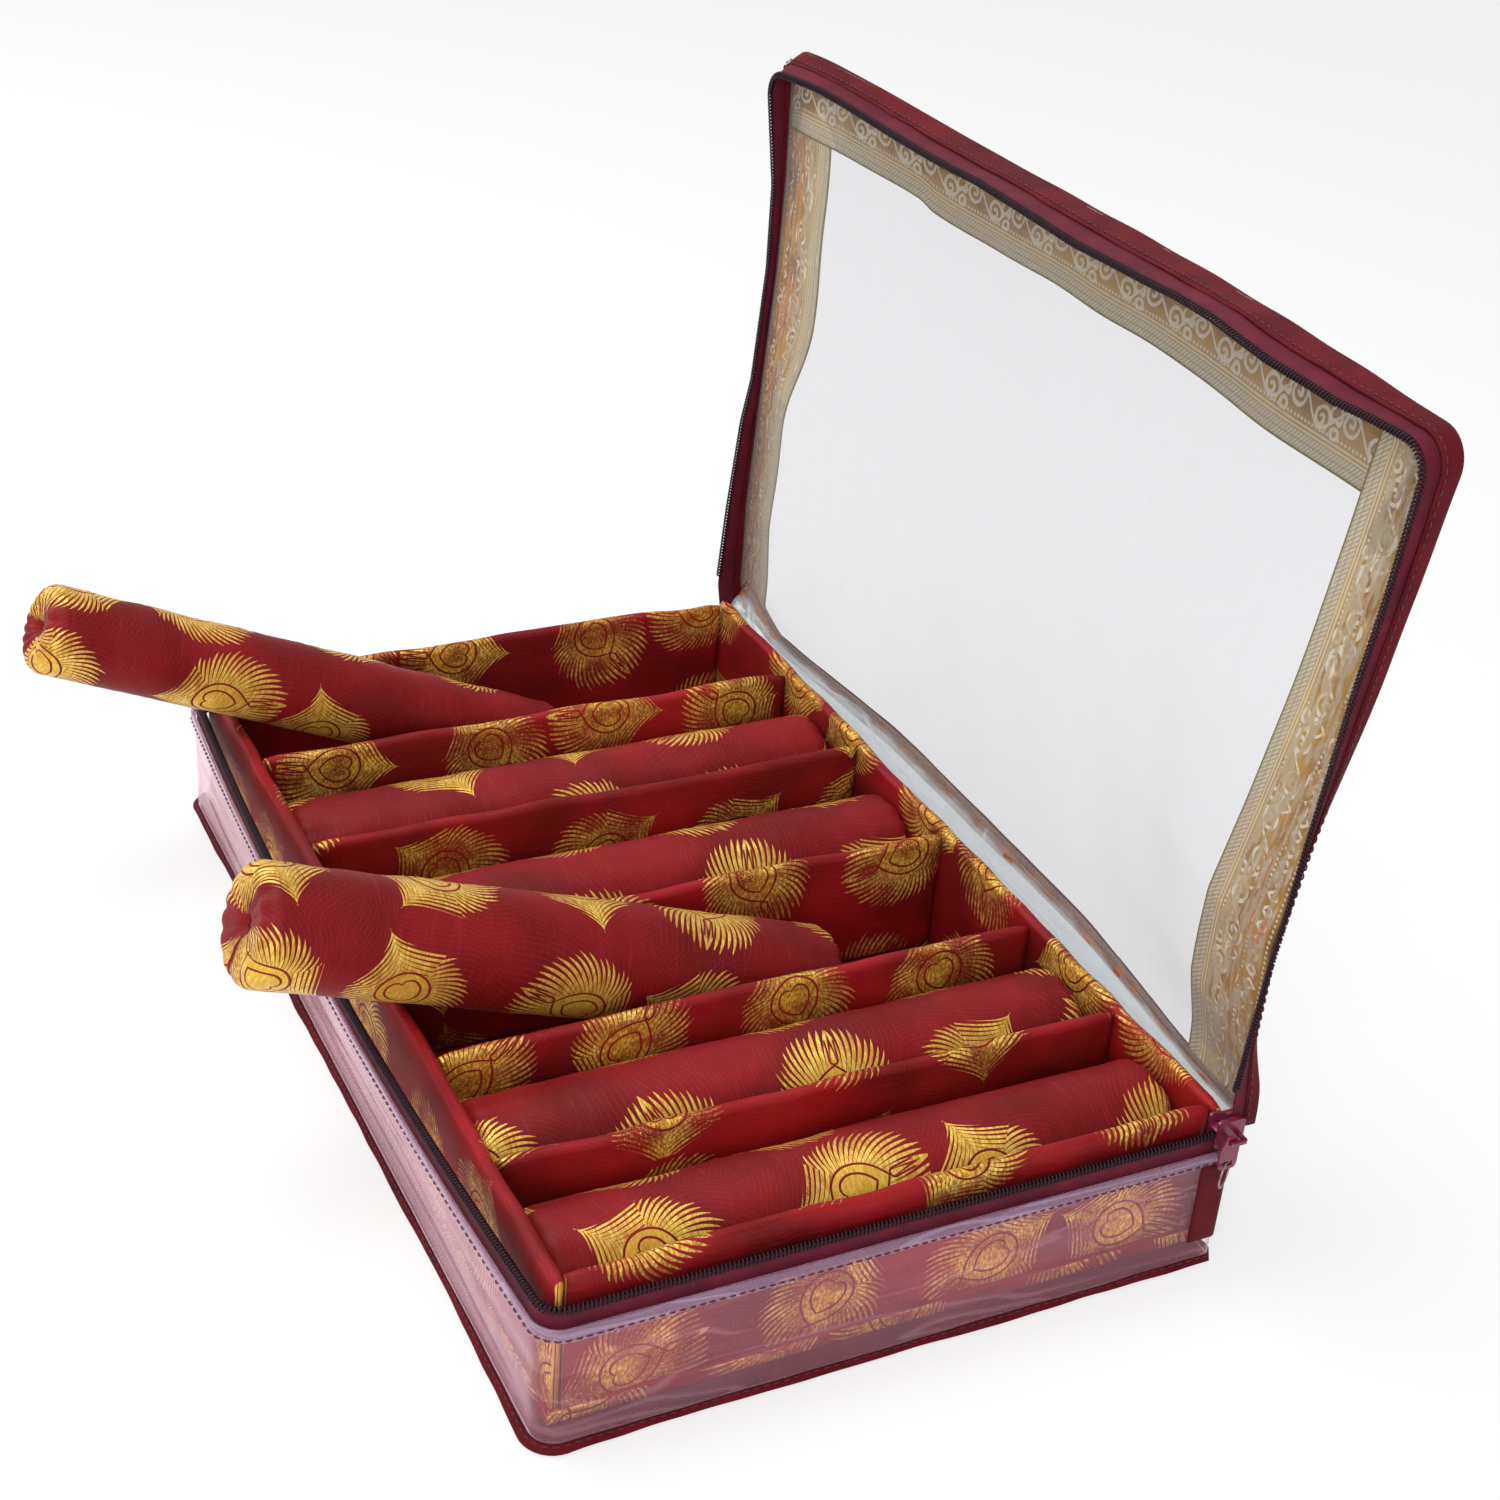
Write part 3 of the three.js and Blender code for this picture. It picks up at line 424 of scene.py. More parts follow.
class Paint:
    """A material built round one Principled shader. Colours of three numbers are 0 to 255, as on screen."""

    def __init__(self, name, colour, roughness=0.6, **settings):
        self.material = bpy.data.materials.new(name)
        self.material.use_nodes = True
        self.tree = self.material.node_tree
        self.shader = self.tree.nodes["Principled BSDF"]
        self.use(Base_Color=colour, Roughness=roughness, **settings)

    def use(self, **sockets):
        for name, value in sockets.items():
            self.feed(self.shader.inputs[name.replace("_", " ")], value)
        return self.material

    def node(self, kind, inputs=None, **settings):
        node = self.tree.nodes.new("ShaderNode" + kind)
        for name, value in settings.items():
            setattr(node, name, value)
        for name, value in (inputs or {}).items():
            self.feed(node.inputs[name], value)
        return node

    def feed(self, socket, value):
        if isinstance(value, Number):
            value = value.socket
        if isinstance(value, bpy.types.NodeSocket):
            self.tree.links.new(value, socket)
        elif socket.type == "RGBA" and len(value) == 3:
            socket.default_value = linear(*value)
        else:
            socket.default_value = value

    def calc(self, operation, *values):
        return worked(self.tree, operation, *values)

    def vectors(self, operation, first, second):
        return self.node("VectorMath", {0: first, 1: second}, operation=operation).outputs["Vector"]

    def split(self, vector):
        parts = self.node("SeparateXYZ", {"Vector": vector}).outputs
        return [Number(self.tree, parts[axis]) for axis in "XYZ"]

    def on_cloth(self):
        """Lays the noises out on the cut cloth, and gives the place there as u and v, in mm."""
        self.where = self.node("UVMap", uv_map="Cloth").outputs["UV"]
        return self.split(self.where)[:2]

    def on_object(self):
        """Lays the noises out over the object, in mm."""
        where = self.node("TexCoord").outputs["Object"]
        self.where = self.node("VectorMath", {0: where, "Scale": 1000.0}, operation="SCALE").outputs["Vector"]

    def noise(self, size, detail=3.0, stretch=(1, 1, 1)):
        """Noise about 0.5, with spots about size mm across."""
        scaled = self.vectors("MULTIPLY", self.where, tuple(1 / (size * s) for s in stretch))
        inputs = {"Vector": scaled, "Scale": 1.0, "Detail": detail, "Roughness": 0.5}
        return Number(self.tree, self.node("TexNoise", inputs).outputs["Fac"])

    def wave(self, value, pitch):
        """Goes from 0 to 1 and back every pitch mm."""
        return self.calc("SINE", value * (2 * math.pi / pitch)) * 0.5 + 0.5

    def about_middle(self, value, pitch):
        """How far a value is past the middle of its pitch."""
        return (self.calc("FRACT", value / pitch) - 0.5) * pitch

    def length(self, x, y):
        return self.calc("SQRT", x * x + y * y)

    def step(self, value, low, high, start=0.0, end=1.0):
        inputs = {"Value": value, "From Min": low, "From Max": high, "To Min": start, "To Max": end}
        made = self.node("MapRange", inputs, interpolation_type="SMOOTHSTEP")
        return Number(self.tree, made.outputs["Result"])

    def blend(self, share, first, second):
        inputs = {"Factor": share, 6: first, 7: second}
        return self.node("Mix", inputs, data_type="RGBA", clamp_factor=True).outputs[2]

    def shade(self, value, low, high, first, second, most=1.0):
        """The first colour where value is low, going over to the second, as far as most, where it is high."""
        return self.blend(self.step(value, low, high, 0.0, most), first, second)

    def curve(self, value, points):
        """A curve through points of (0 to 1, 0 to 1), its two ends first."""
        node = self.node("FloatCurve", {"Value": value})
        line = node.mapping.curves[0]
        for number, point in enumerate(points):
            if number < 2:
                line.points[number].location = point
            else:
                line.points.new(*point)
        node.mapping.update()
        return Number(self.tree, node.outputs["Value"])

    def bump(self, height, depth, below=None):
        """Bumps of depth mm where height goes from 0 to 1."""
        inputs = {"Height": height, "Distance": depth * MM, "Strength": 1.0}
        if below is not None:
            inputs["Normal"] = below
        return self.node("Bump", inputs).outputs["Normal"]

    def mix_shaders(self, share, first, second):
        mixed = self.node("MixShader", {0: share, 1: first.outputs[0], 2: second.outputs[0]})
        self.feed(self.tree.nodes["Material Output"].inputs["Surface"], mixed.outputs[0])


FEATHER_PITCH = 56.0  # between printed feathers, in mm
FEATHER_REACH = 30.0  # the scale of the feather's outline curve
BARBS = 24  # on each side of a feather


def feather_print(paint):
    """Where the gold feathers are and where their eyes are, each from 0 to 1."""
    scaled = paint.vectors("MULTIPLY", paint.where, (1 / FEATHER_PITCH,) * 3)
    inputs = {"Vector": scaled, "Scale": 1.0, "Randomness": 0.28}
    cells = paint.node("TexVoronoi", inputs, voronoi_dimensions="2D").outputs
    apart = paint.vectors("SUBTRACT", scaled, cells["Position"])
    turn_by, chance, _ = paint.split(cells["Color"])
    inputs = {"Vector": apart, "Angle": turn_by * (2 * math.pi)}
    turned = paint.node("VectorRotate", inputs, rotation_type="Z_AXIS").outputs["Vector"]
    x, y, _ = paint.split(turned)
    x, y = x * FEATHER_PITCH - 2.5, y * FEATHER_PITCH
    r = paint.length(x, y)
    angle = paint.calc("ARCTAN2", abs(y), x * -1.0)  # 0 at the tip and pi at the stem
    t = angle / math.pi

    outline = paint.curve(t, [(0, 0.92), (1, 0.62), (0.2, 0.86), (0.45, 0.72), (0.7, 0.655)])
    side = paint.step(y, -0.01, 0.01)
    lean = (t + 0.25) * 0.042
    in_tail = paint.step(x * 1.38 + 1.4 - abs(y), -0.05, 0.05)
    hook = paint.calc("MAXIMUM", r - 17.0, 0.0) ** 2.0 * 0.0016 * paint.calc("SINE", angle)
    phase_round = (angle + (r - 9.0) * lean + hook) * (BARBS / math.pi)
    phase_tail = (x + (abs(y) + 0.4) ** 0.62 * 2.3) / 1.9 + 0.5
    phase = phase_tail * in_tail + phase_round * (1.0 - in_tail)
    number = paint.calc("FLOOR", phase)
    seed = paint.node("CombineXYZ", {"X": number, "Y": side, "Z": chance * 40.0}).outputs["Vector"]
    luck = Number(paint.tree, paint.node("TexWhiteNoise", {"Vector": seed}).outputs["Value"])
    reach = outline * FEATHER_REACH * (0.93 + luck * 0.10)
    eye = paint.curve(t, [(0, 0.60), (1, 0.445), (0.1, 0.52), (0.3, 0.455), (0.6, 0.44)]) * 20.0
    tail_reach = paint.calc("MAXIMUM", (25.5 - x) / 14.0, 0.0) ** 1.7 * 16.0 * (0.9 + luck * 0.14) + 0.01
    q_round = paint.calc("MAXIMUM", (r - eye) / (reach - eye), 0.0)
    q = abs(y) / tail_reach * in_tail + q_round * (1.0 - in_tail)
    taper = paint.calc("MAXIMUM", 1.0 - q**4.0, 0.0) ** 0.7
    from_middle = abs(paint.calc("FRACT", phase) - 0.5) * 2.0
    width = taper * paint.step(q, 0.05, 0.6, 0.92, 0.68)
    barbs = paint.step(width - from_middle, -0.05, 0.12)

    ring = abs(r - eye)
    heart_points = [(0, 0.62), (1, 0.32), (0.12, 0.53), (0.35, 0.47), (0.6, 0.49), (0.8, 0.50), (0.93, 0.42)]
    heart_line = abs(r - paint.curve(t, heart_points) * 12.0)
    in_eye = paint.step(eye - r, -0.1, 0.1)
    stem_side = x * -1.0 - 14.0
    arch = paint.length(stem_side, y)
    is_leg = paint.step(stem_side, -0.01, 0.01)
    loop = abs(is_leg * abs(y) + (1.0 - is_leg) * arch - 1.5)
    loop_line = paint.step(loop, 0.25, 0.5) + paint.step(stem_side, 7.0, 9.0)
    loop_line = paint.calc("MINIMUM", loop_line + paint.step(stem_side, -3.0, -3.5), 1.0)
    gold = paint.calc("MAXIMUM", in_eye, barbs * loop_line)
    return gold * paint.step(ring, 0.28, 0.55) * paint.step(heart_line, 0.28, 0.55), in_eye


def brocade(name, cloth_colour, dark_colour, foil_wear_and_glints, rib_along_u=True):
    """Satin with gold foil feathers."""
    paint = Paint(name, cloth_colour, Sheen_Weight=0.04, Sheen_Roughness=0.35, Sheen_Tint=(255, 120, 130))
    u, v = paint.on_cloth()
    gold, in_eye = feather_print(paint)
    ribs = paint.noise(1.2, 4.0, (0.25, 8, 1) if rib_along_u else (8, 0.25, 1))
    moire = paint.noise(7.0, 3.0, (0.3, 2.6, 1) if rib_along_u else (2.6, 0.3, 1))
    patches = paint.noise(45.0, 2.0)
    dye = paint.shade(patches, 0.3, 0.7, dark_colour, cloth_colour)
    dye = paint.shade(ribs, 0.35, 0.75, dye, (158, 27, 33), 0.28)
    dye = paint.shade(moire, 0.55, 0.8, dye, (164, 40, 52), 0.25)

    crackle = paint.noise(0.55, 3.0)
    rubbed = paint.noise(14.0, 4.0)
    gone = paint.step(rubbed, 0.62 - foil_wear_and_glints * 0.4, 0.9 - foil_wear_and_glints * 0.4) * paint.step(crackle, 0.42, 0.54)
    gold = gold * (1.0 - gone)
    streak = paint.noise(1.0, 3.0, (1, 5, 1))
    foil = paint.shade(streak, 0.3, 0.7, (212, 156, 50), (255, 222, 112))
    foil = paint.shade(rubbed, 0.35, 0.7, foil, (176, 110, 52), 0.2 + foil_wear_and_glints)
    foil = paint.blend(in_eye * 0.5, foil, (232, 182, 58))
    # Dark specks are cracked foil; the bright specks are a painted glint, a painted highlight on the foil.
    specks_and_glints = paint.noise(0.9, 3.0, (1, 2, 1))
    foil = paint.blend(paint.step(specks_and_glints, 0.46, 0.56) * foil_wear_and_glints, foil, (128, 70, 34))
    foil = paint.blend(paint.step(specks_and_glints, 0.4, 0.34) * foil_wear_and_glints, foil, (255, 226, 150))
    colour = paint.blend(gold, dye, foil)

    weave = paint.wave(u if rib_along_u else v, 0.9)
    under = paint.bump(weave * 0.5 + ribs * 0.5, 0.05)
    raised = paint.bump(gold * (crackle * 0.8 + 0.6), 0.09, under)
    rough = paint.step(crackle, 0.3, 0.7, 0.24, 0.44) * gold + (1.0 - gold) * (ribs * 0.25 + 0.38)
    paint.use(Base_Color=colour, Normal=raised, Roughness=rough, Metallic=gold * 0.45)
    return paint.use(Specular_IOR_Level=0.16)


def plain_cloth(name, colour, dark, size=0.7):
    """Tightly woven cloth with a visible thread."""
    paint = Paint(name, colour, 0.75, Sheen_Weight=0.03, Sheen_Roughness=0.4, Specular_IOR_Level=0.12)
    u, v = paint.on_cloth()
    thread = paint.wave(u, size) * paint.wave(v, size)
    patches = paint.noise(18.0, 4.0)
    lint = paint.noise(2.0, 4.0)
    mixed = paint.shade(patches, 0.3, 0.7, dark, colour)
    mixed = paint.blend(thread * 0.2 + paint.step(lint, 0.55, 0.8, 0.0, 0.15), mixed, (140, 36, 50))
    return paint.use(Base_Color=mixed, Normal=paint.bump(thread, 0.12), Roughness=lint * 0.2 + 0.62)


def ribbed_tape(name, colour, dark):
    """The zip's woven nylon tape, with ribs along it."""
    paint = Paint(name, colour, 0.6, Sheen_Weight=0.03, Specular_IOR_Level=0.14)
    u, v = paint.on_cloth()
    ribs, picks = paint.wave(v, 1.1), paint.wave(u, 0.6)
    patches = paint.noise(14.0, 3.0)
    mixed = paint.shade(patches, 0.3, 0.75, dark, colour)
    mixed = paint.blend(ribs * picks * 0.25, mixed, (124, 38, 62))
    return paint.use(Base_Color=mixed, Normal=paint.bump(ribs * 0.7 + picks * 0.3, 0.1))


def coil_plastic(name, colour):
    """Nylon coil, a little scuffed."""
    paint = Paint(name, colour, 0.4, Specular_IOR_Level=0.25)
    paint.on_object()
    scuff = paint.noise(3.0, 4.0)
    mixed = paint.shade(scuff, 0.55, 0.85, colour, (84, 40, 58), 0.3)
    return paint.use(Base_Color=mixed, Roughness=scuff * 0.25 + 0.38)


def clear_film(name, tint, haze, haze_colour, stretch=(6, 1, 1), crease=0.35, milky=0.0):
    """Soft clear PVC: mostly see-through, with a haze, long creases and gloss. It is whiter where v is
    under milky, in mm."""
    paint = Paint(name, haze_colour, 0.12, Specular_IOR_Level=0.5, Coat_Weight=0.3, Coat_Roughness=0.06)
    _, v = paint.on_cloth()
    pull = paint.noise(9.0, 1.5, stretch)
    ripple = paint.noise(26.0, 2.0, stretch)
    dust = paint.noise(4.0, 2.0)
    normal = paint.bump(pull * 0.5 + ripple, crease)
    paint.use(Normal=normal, Roughness=dust * 0.14 + 0.07)
    facing = paint.node("LayerWeight", {"Blend": 0.5, "Normal": normal}).outputs["Facing"]
    mirror = Number(paint.tree, facing) ** 4.0 * 0.8 + 0.012
    fold = paint.step(abs(ripple - 0.5), 0.011, 0.003, 0.0, min(haze**2 * 30, 0.2))
    share = mirror + fold + (paint.step(pull, 0.45, 0.8, 0.0, haze * 0.6) + dust * 0.01 + haze)
    if milky:
        share = share + paint.step(v, milky + 1.2, milky - 1.2, 0.0, 0.32)
    share = paint.calc("MINIMUM", share, 0.95)
    through = paint.node("BsdfTransparent", {"Color": tint})
    paint.mix_shaders(share, through, paint.shader)
    return paint.material


LACE_SCROLL = 27.0  # one scroll of the lace, in mm
LACE_WIDTH = 33.0
LACE_ROW = 17.8  # from the outer edge to the middle of the scrolls


def lace(name, loose_and_glints, loose_threads, faded=0.0):
    """A woven metallic border: scrolls on an ochre ground, fine lines, a ribbed band and an olive edge.
    loose_and_glints is how far loose threads hide the scrolls and how strong their painted glints are,
    loose_threads their three colours, and faded how far it shows its copper back."""
    paint = Paint(name, (168, 124, 40), 0.45, Specular_IOR_Level=0.3)
    u, v = paint.on_cloth()
    wobble = (paint.noise(6.0, 2.0) - 0.5) * 1.6
    x = paint.about_middle(u, LACE_SCROLL) + wobble
    y = v - LACE_ROW + wobble
    vine = abs(y - paint.calc("SINE", u * (2 * math.pi / LACE_SCROLL)) * 4.8)

    def spiral(centre_x, centre_y, size, hand):
        dx, dy = x - centre_x, y - centre_y
        r = paint.length(dx, dy)
        winding = r / (size * 0.6) - paint.calc("ARCTAN2", dy * hand, dx) / (2 * math.pi)
        turn = abs(paint.calc("FRACT", winding) - 0.5) * size * 0.6
        return turn + paint.step(r, size * 0.92, size * 1.08, 0.0, 5.0)

    def ring(centre_x, centre_y, size, lobe=0.0):
        dx = abs(x - centre_x)
        return abs(paint.length(dx, y - centre_y - dx * lobe) - size)

    def dots(at):
        return paint.length(paint.about_middle(u, 1.9), v - at)

    def least(*values):
        found = values[0]
        for value in values[1:]:
            found = paint.calc("MINIMUM", found, value)
        return found

    lozenge = abs(abs(paint.calc("FRACT", u / 5.4) - 0.5) * 5.4 + abs(v - 6.0) * 0.8 - 1.8)
    curls = least(spiral(-6.9, 1.9, 4.8, 1.0), spiral(6.9, -1.3, 4.8, -1.0), ring(0.8, 4.4, 1.7))
    line = least(curls, ring(-0.4, -2.6, 2.7, 0.75), vine, lozenge)
    beads = least(dots(1.4), dots(9.8), dots(23.3))
    thread = 1.0 - least(paint.step(line, 0.48, 0.85), paint.step(beads, 0.4, 0.65))
    in_field = paint.step(v, 24.3, 24.0)
    double = paint.step(abs(v - 25.0), 0.5, 0.28) + paint.step(abs(v - 26.4), 0.5, 0.25)
    twill = paint.wave(u + v * 0.9, 1.7)
    in_band = paint.step(v, 27.0, 27.3) * paint.step(v, 32.4, 32.2)
    at_edge = paint.step(v, 32.3, 32.5)

    patches = paint.noise(13.0, 3.0, (1.6, 1, 1))
    weave = paint.noise(0.8, 2.0, (1, 2.5, 1))
    ground = paint.shade(patches, 0.35, 0.65, (146, 100, 26), (186, 142, 48))
    ground = paint.blend(weave * 0.4, ground, (112, 78, 28))
    ground = paint.shade(v, 20.0, 24.0, ground, (186, 168, 122), 0.35)
    scrolls = thread * in_field * (paint.step(paint.noise(1.4, 3.0), 0.2, 0.45, 0.6, 1.0))
    colour = paint.blend(scrolls, ground, (208, 200, 178))

    streak = paint.noise(3.2, 4.0, (5, 1, 1))
    tangle_and_highlight = paint.noise(2.6, 5.0, (3.5, 0.8, 1))
    lost = paint.step(tangle_and_highlight, 0.4, 0.5, 0.0, loose_and_glints) * in_field * paint.step(v, 2.4, 3.2)
    plain, patch, bright = loose_threads
    loose = paint.shade(streak, 0.42, 0.5, patch, plain)
    loose = paint.shade(streak, 0.58, 0.66, loose, bright)
    # Painted highlight: lilac-white where the loose threads tangle; the same noise also sets where they hide
    # the scrolls.
    loose = paint.shade(tangle_and_highlight, 0.6, 0.68, loose, (202, 192, 184), 0.7)
    loose = paint.shade(v, 13.0, 20.0, loose, (178, 164, 124), 0.75)
    colour = paint.blend(lost, colour, loose)

    colour = paint.blend(double * 0.85, colour, (206, 194, 156))
    band = paint.blend(twill, (160, 148, 116), (200, 190, 164))
    band = paint.shade(abs(v - 29.6), 0.35, 0.15, band, (138, 126, 84), 0.6)
    band = paint.shade(patches, 0.45, 0.7, band, (192, 160, 142), 0.4)
    colour = paint.blend(in_band, colour, band)
    colour = paint.blend(at_edge, colour, (124, 114, 44))
    # Painted glints: near-white spots of painted highlight on the loose threads, with lower roughness and
    # some metal.
    painted_glints = paint.step(paint.noise(5.0, 5.0, (2.2, 0.4, 1)), 0.64, 0.7, 0.0, loose_and_glints)
    colour = paint.blend(painted_glints, colour, (240, 214, 190))
    if faded:
        copper = paint.shade(streak, 0.4, 0.6, (120, 66, 44), (164, 104, 74))
        colour = paint.blend(weave * 0.1 + faded, colour, copper)
    raised = paint.bump(scrolls * 0.5 + in_band * twill * 0.7 + weave * 0.3, 0.15)
    rough = (1.0 - painted_glints) * 0.25 + 0.3
    return paint.use(Base_Color=colour, Normal=raised, Roughness=rough, Metallic=painted_glints * 0.4)


def metal_enamel(name, colour, worn_colour):
    """Painted die-cast metal, rubbed at its high places."""
    paint = Paint(name, colour, 0.3, Coat_Weight=0.4, Coat_Roughness=0.2)
    paint.on_object()
    rubs = paint.noise(2.2, 5.0)
    rubbed = paint.step(rubs, 0.6, 0.72)
    mixed = paint.blend(rubbed * 0.6, colour, worn_colour)
    return paint.use(Base_Color=mixed, Roughness=rubs * 0.25 + 0.2, Metallic=rubbed * 0.6 + 0.15)


def wire_metal(name):
    paint = Paint(name, (150, 120, 120), 0.3, Metallic=0.9)
    paint.on_object()
    grime = paint.noise(1.5, 4.0)
    mixed = paint.shade(grime, 0.45, 0.75, (165, 140, 135), (92, 62, 66))
    return paint.use(Base_Color=mixed, Roughness=grime * 0.3 + 0.2)


def card_board(name):
    paint = Paint(name, (150, 122, 88), 0.85)
    paint.on_object()
    fibre = paint.noise(1.5, 4.0, (1, 5, 1))
    mixed = paint.blend(fibre, (120, 94, 64), (172, 146, 110))
    return paint.use(Base_Color=mixed, Normal=paint.bump(fibre, 0.1))


def sewing_thread(name, colour):
    paint = Paint(name, colour, 0.6)
    paint.on_object()
    twist = paint.noise(0.5, 2.0)
    return paint.use(Base_Color=paint.blend(twist, colour, (92, 28, 46)))


MAROON, DEEP_MAROON = (129, 17, 24), (96, 10, 16)

satin = brocade("satin", MAROON, DEEP_MAROON, 0.15)
board_cloth = brocade("board_cloth", (146, 20, 26), (92, 11, 16), 0.6, rib_along_u=False)
base_cloth = plain_cloth("base_cloth", (104, 16, 30), (76, 10, 24))
edge_cloth = plain_cloth("edge_cloth", (100, 14, 26), (74, 9, 19), size=0.55)
tape_cloth = ribbed_tape("tape_cloth", (98, 20, 40), (77, 13, 30))
chain_plastic = coil_plastic("chain_plastic", (34, 13, 23))
wall_film = clear_film("wall_film", (254, 248, 250), 0.045, (238, 184, 202))
hem_film = clear_film("hem_film", (238, 226, 236), 0.2, (188, 164, 190), crease=0.5)
window_film = clear_film("window_film", (244, 244, 245), 0.012, (224, 225, 228), (1, 6, 1), 0.1)
hinge_film = clear_film("hinge_film", (240, 241, 242), 0.09, (196, 200, 203), (6, 1, 1), 0.5, milky=21.0)
lace_woven = lace("lace_woven", 0.15, ((168, 134, 66), (142, 104, 40), (196, 166, 90)))
lace_near = lace("lace_near", 0.9, ((168, 150, 122), (158, 118, 46), (176, 106, 54)))
lace_far = lace("lace_far", 0.92, ((182, 122, 54), (128, 84, 66), (192, 148, 66)))
lace_back = lace("lace_back", 1.0, ((150, 96, 66), (120, 72, 52), (170, 124, 96)), faded=0.7)
enamel = metal_enamel("enamel", (116, 28, 58), (190, 140, 120))
wire = wire_metal("wire")
card = card_board("card")
seam_thread = sewing_thread("seam_thread", (66, 14, 28))


# Threads and coils.


def thread_round(line, radius, beside, over, sides=5):
    """Rings of points round a line: beside and over are two directions square to it."""
    turn = np.linspace(0, 2 * math.pi, sides, endpoint=False)[None, :, None]
    return line[:, None] + radius * (np.cos(turn) * beside + np.sin(turn) * over)


def make_stitches(name, body, slot, points, outward, pitch=3.2, share=0.72, radius=0.28, sag=0.16):
    """Short threads along a line of points, each dipping into the cloth at its ends."""
    shape = Shape()
    along = distances(points)
    for start in np.arange(1.0, along[-1] - pitch, pitch):
        line = between(start + np.linspace(0, pitch * share, 5), along, points)
        away = between(start, along, outward)
        away /= np.linalg.norm(away)
        line = line + (sag * np.array([-1.2, 0.6, 1.0, 0.6, -1.2]))[:, None] * away
        way = line[-1] - line[0]
        way /= np.linalg.norm(way)
        thin = radius * np.array([0.55, 1, 1, 1, 0.55])[:, None, None]
        shape.tube(thread_round(line, thin, np.cross(way, away), away))
    shape.made(name, seam_thread, body, slot)


def make_coil(name, node, body, points, outward, rise):
    """One half of the zip's chain, a flattened coil: outward and rise point along its width and height."""
    half_width, half_height, wire_radius, pitch, steps = 1.0, 1.2, 0.42, 1.35, 9
    along = distances(points)
    reach = np.linspace(0, along[-1], int(along[-1] / pitch) * steps)
    spin = (2 * math.pi * np.arange(len(reach)) / steps)[:, None]
    middle, out, up = (between(reach, along, values) for values in (points, outward, rise))
    line = middle + out * (half_width * np.cos(spin)) + up * (half_height * np.sin(spin))
    way = np.gradient(line, axis=0)
    way /= np.linalg.norm(way, axis=1, keepdims=True)
    beside = np.cross(way, up)
    beside /= np.linalg.norm(beside, axis=1, keepdims=True)
    ring = thread_round(line, wire_radius, beside[:, None], np.cross(beside, way)[:, None])
    Shape().tube(ring).made(name, chain_plastic, body, "chain", node)


# Case.

case_rim = rounded_rim(HALF_LENGTH, CASE_FRONT, FILM_BACK, FRONT_RADIUS)


def make_case_film():
    heights = np.linspace(FILM_FOOT, FILM_TOP, 26)[None, :]
    long_crease, slack = Unevenness(3, 13, stretch=9), Unevenness(4, 60, stretch=2)
    along = case_rim.along[:, None]
    middle = np.sin(math.pi * (heights - FILM_FOOT) / (FILM_TOP - FILM_FOOT))
    inward = (0.35 * long_crease(along, heights) + 0.5 * slack(along, heights) + 0.3) * middle
    shape = Shape().grid(on_case(case_rim, -0.1 - inward * 0.9, heights))
    wall = shape.made("wall_film", wall_film, "case", "film", "case_film", thickness=0.6, offset=1.0)

    section = loop_band(0.25, 1.1, HEM_FOOT, FILM_TOP + 0.2, round_by=0.4)
    points = swept(case_rim, on_case, section, rippled(Unevenness(5, 30), 0.08, 0.25, 300, 2.0))
    hem = Shape().tube(points).made("film_hem_fold", hem_film, "case", "film", "film_hem")
    seam = on_case(case_rim, 1.15, HEM_FOOT + 1.0)[:, 0]
    make_stitches("hem_stitches", "case", "tape", seam, case_rim.outward())


def make_lower_zip():
    shift = rippled(Unevenness(6, 22), 0.06, 0.12, 90)
    points = swept(case_rim, on_case, loop_band(-2.1, -1.1, 40.8, 50.9), shift)
    tape = Shape().tube(points).made("lower_tape", tape_cloth, "case", "tape", "lower_zip_tape")
    line = on_case(case_rim, -1.6, COIL_HEIGHT)[:, 0]
    rise = np.tile([0.0, 0.0, 1.0], (len(line), 1))
    make_coil("lower_coil", "lower_zip_chain", "case", line, case_rim.outward(), rise)


def make_base():
    loop = case_rim.at - case_rim.out * 0.3
    levels = ((0.2, 1.2), (0.8, 0.2), (1.8, 0.2), (2.3, 1.2))  # height, and how far in
    lines = [np.column_stack([loop - case_rim.out * pull, np.full(len(loop), z)]) for z, pull in levels]
    points = np.stack(lines, 1)
    back = np.linspace(points[-1], points[0], 40)
    shape = Shape().grid(points, points[..., :2]).grid(back, back[..., :2])
    for level, turned in ((0, True), (-1, False)):
        shape.cap(np.vstack([points[:, level], back[1:-1, level]]), turned=turned)
    shape.made("base_board", base_cloth, "case", "base_cloth", "base_panel")


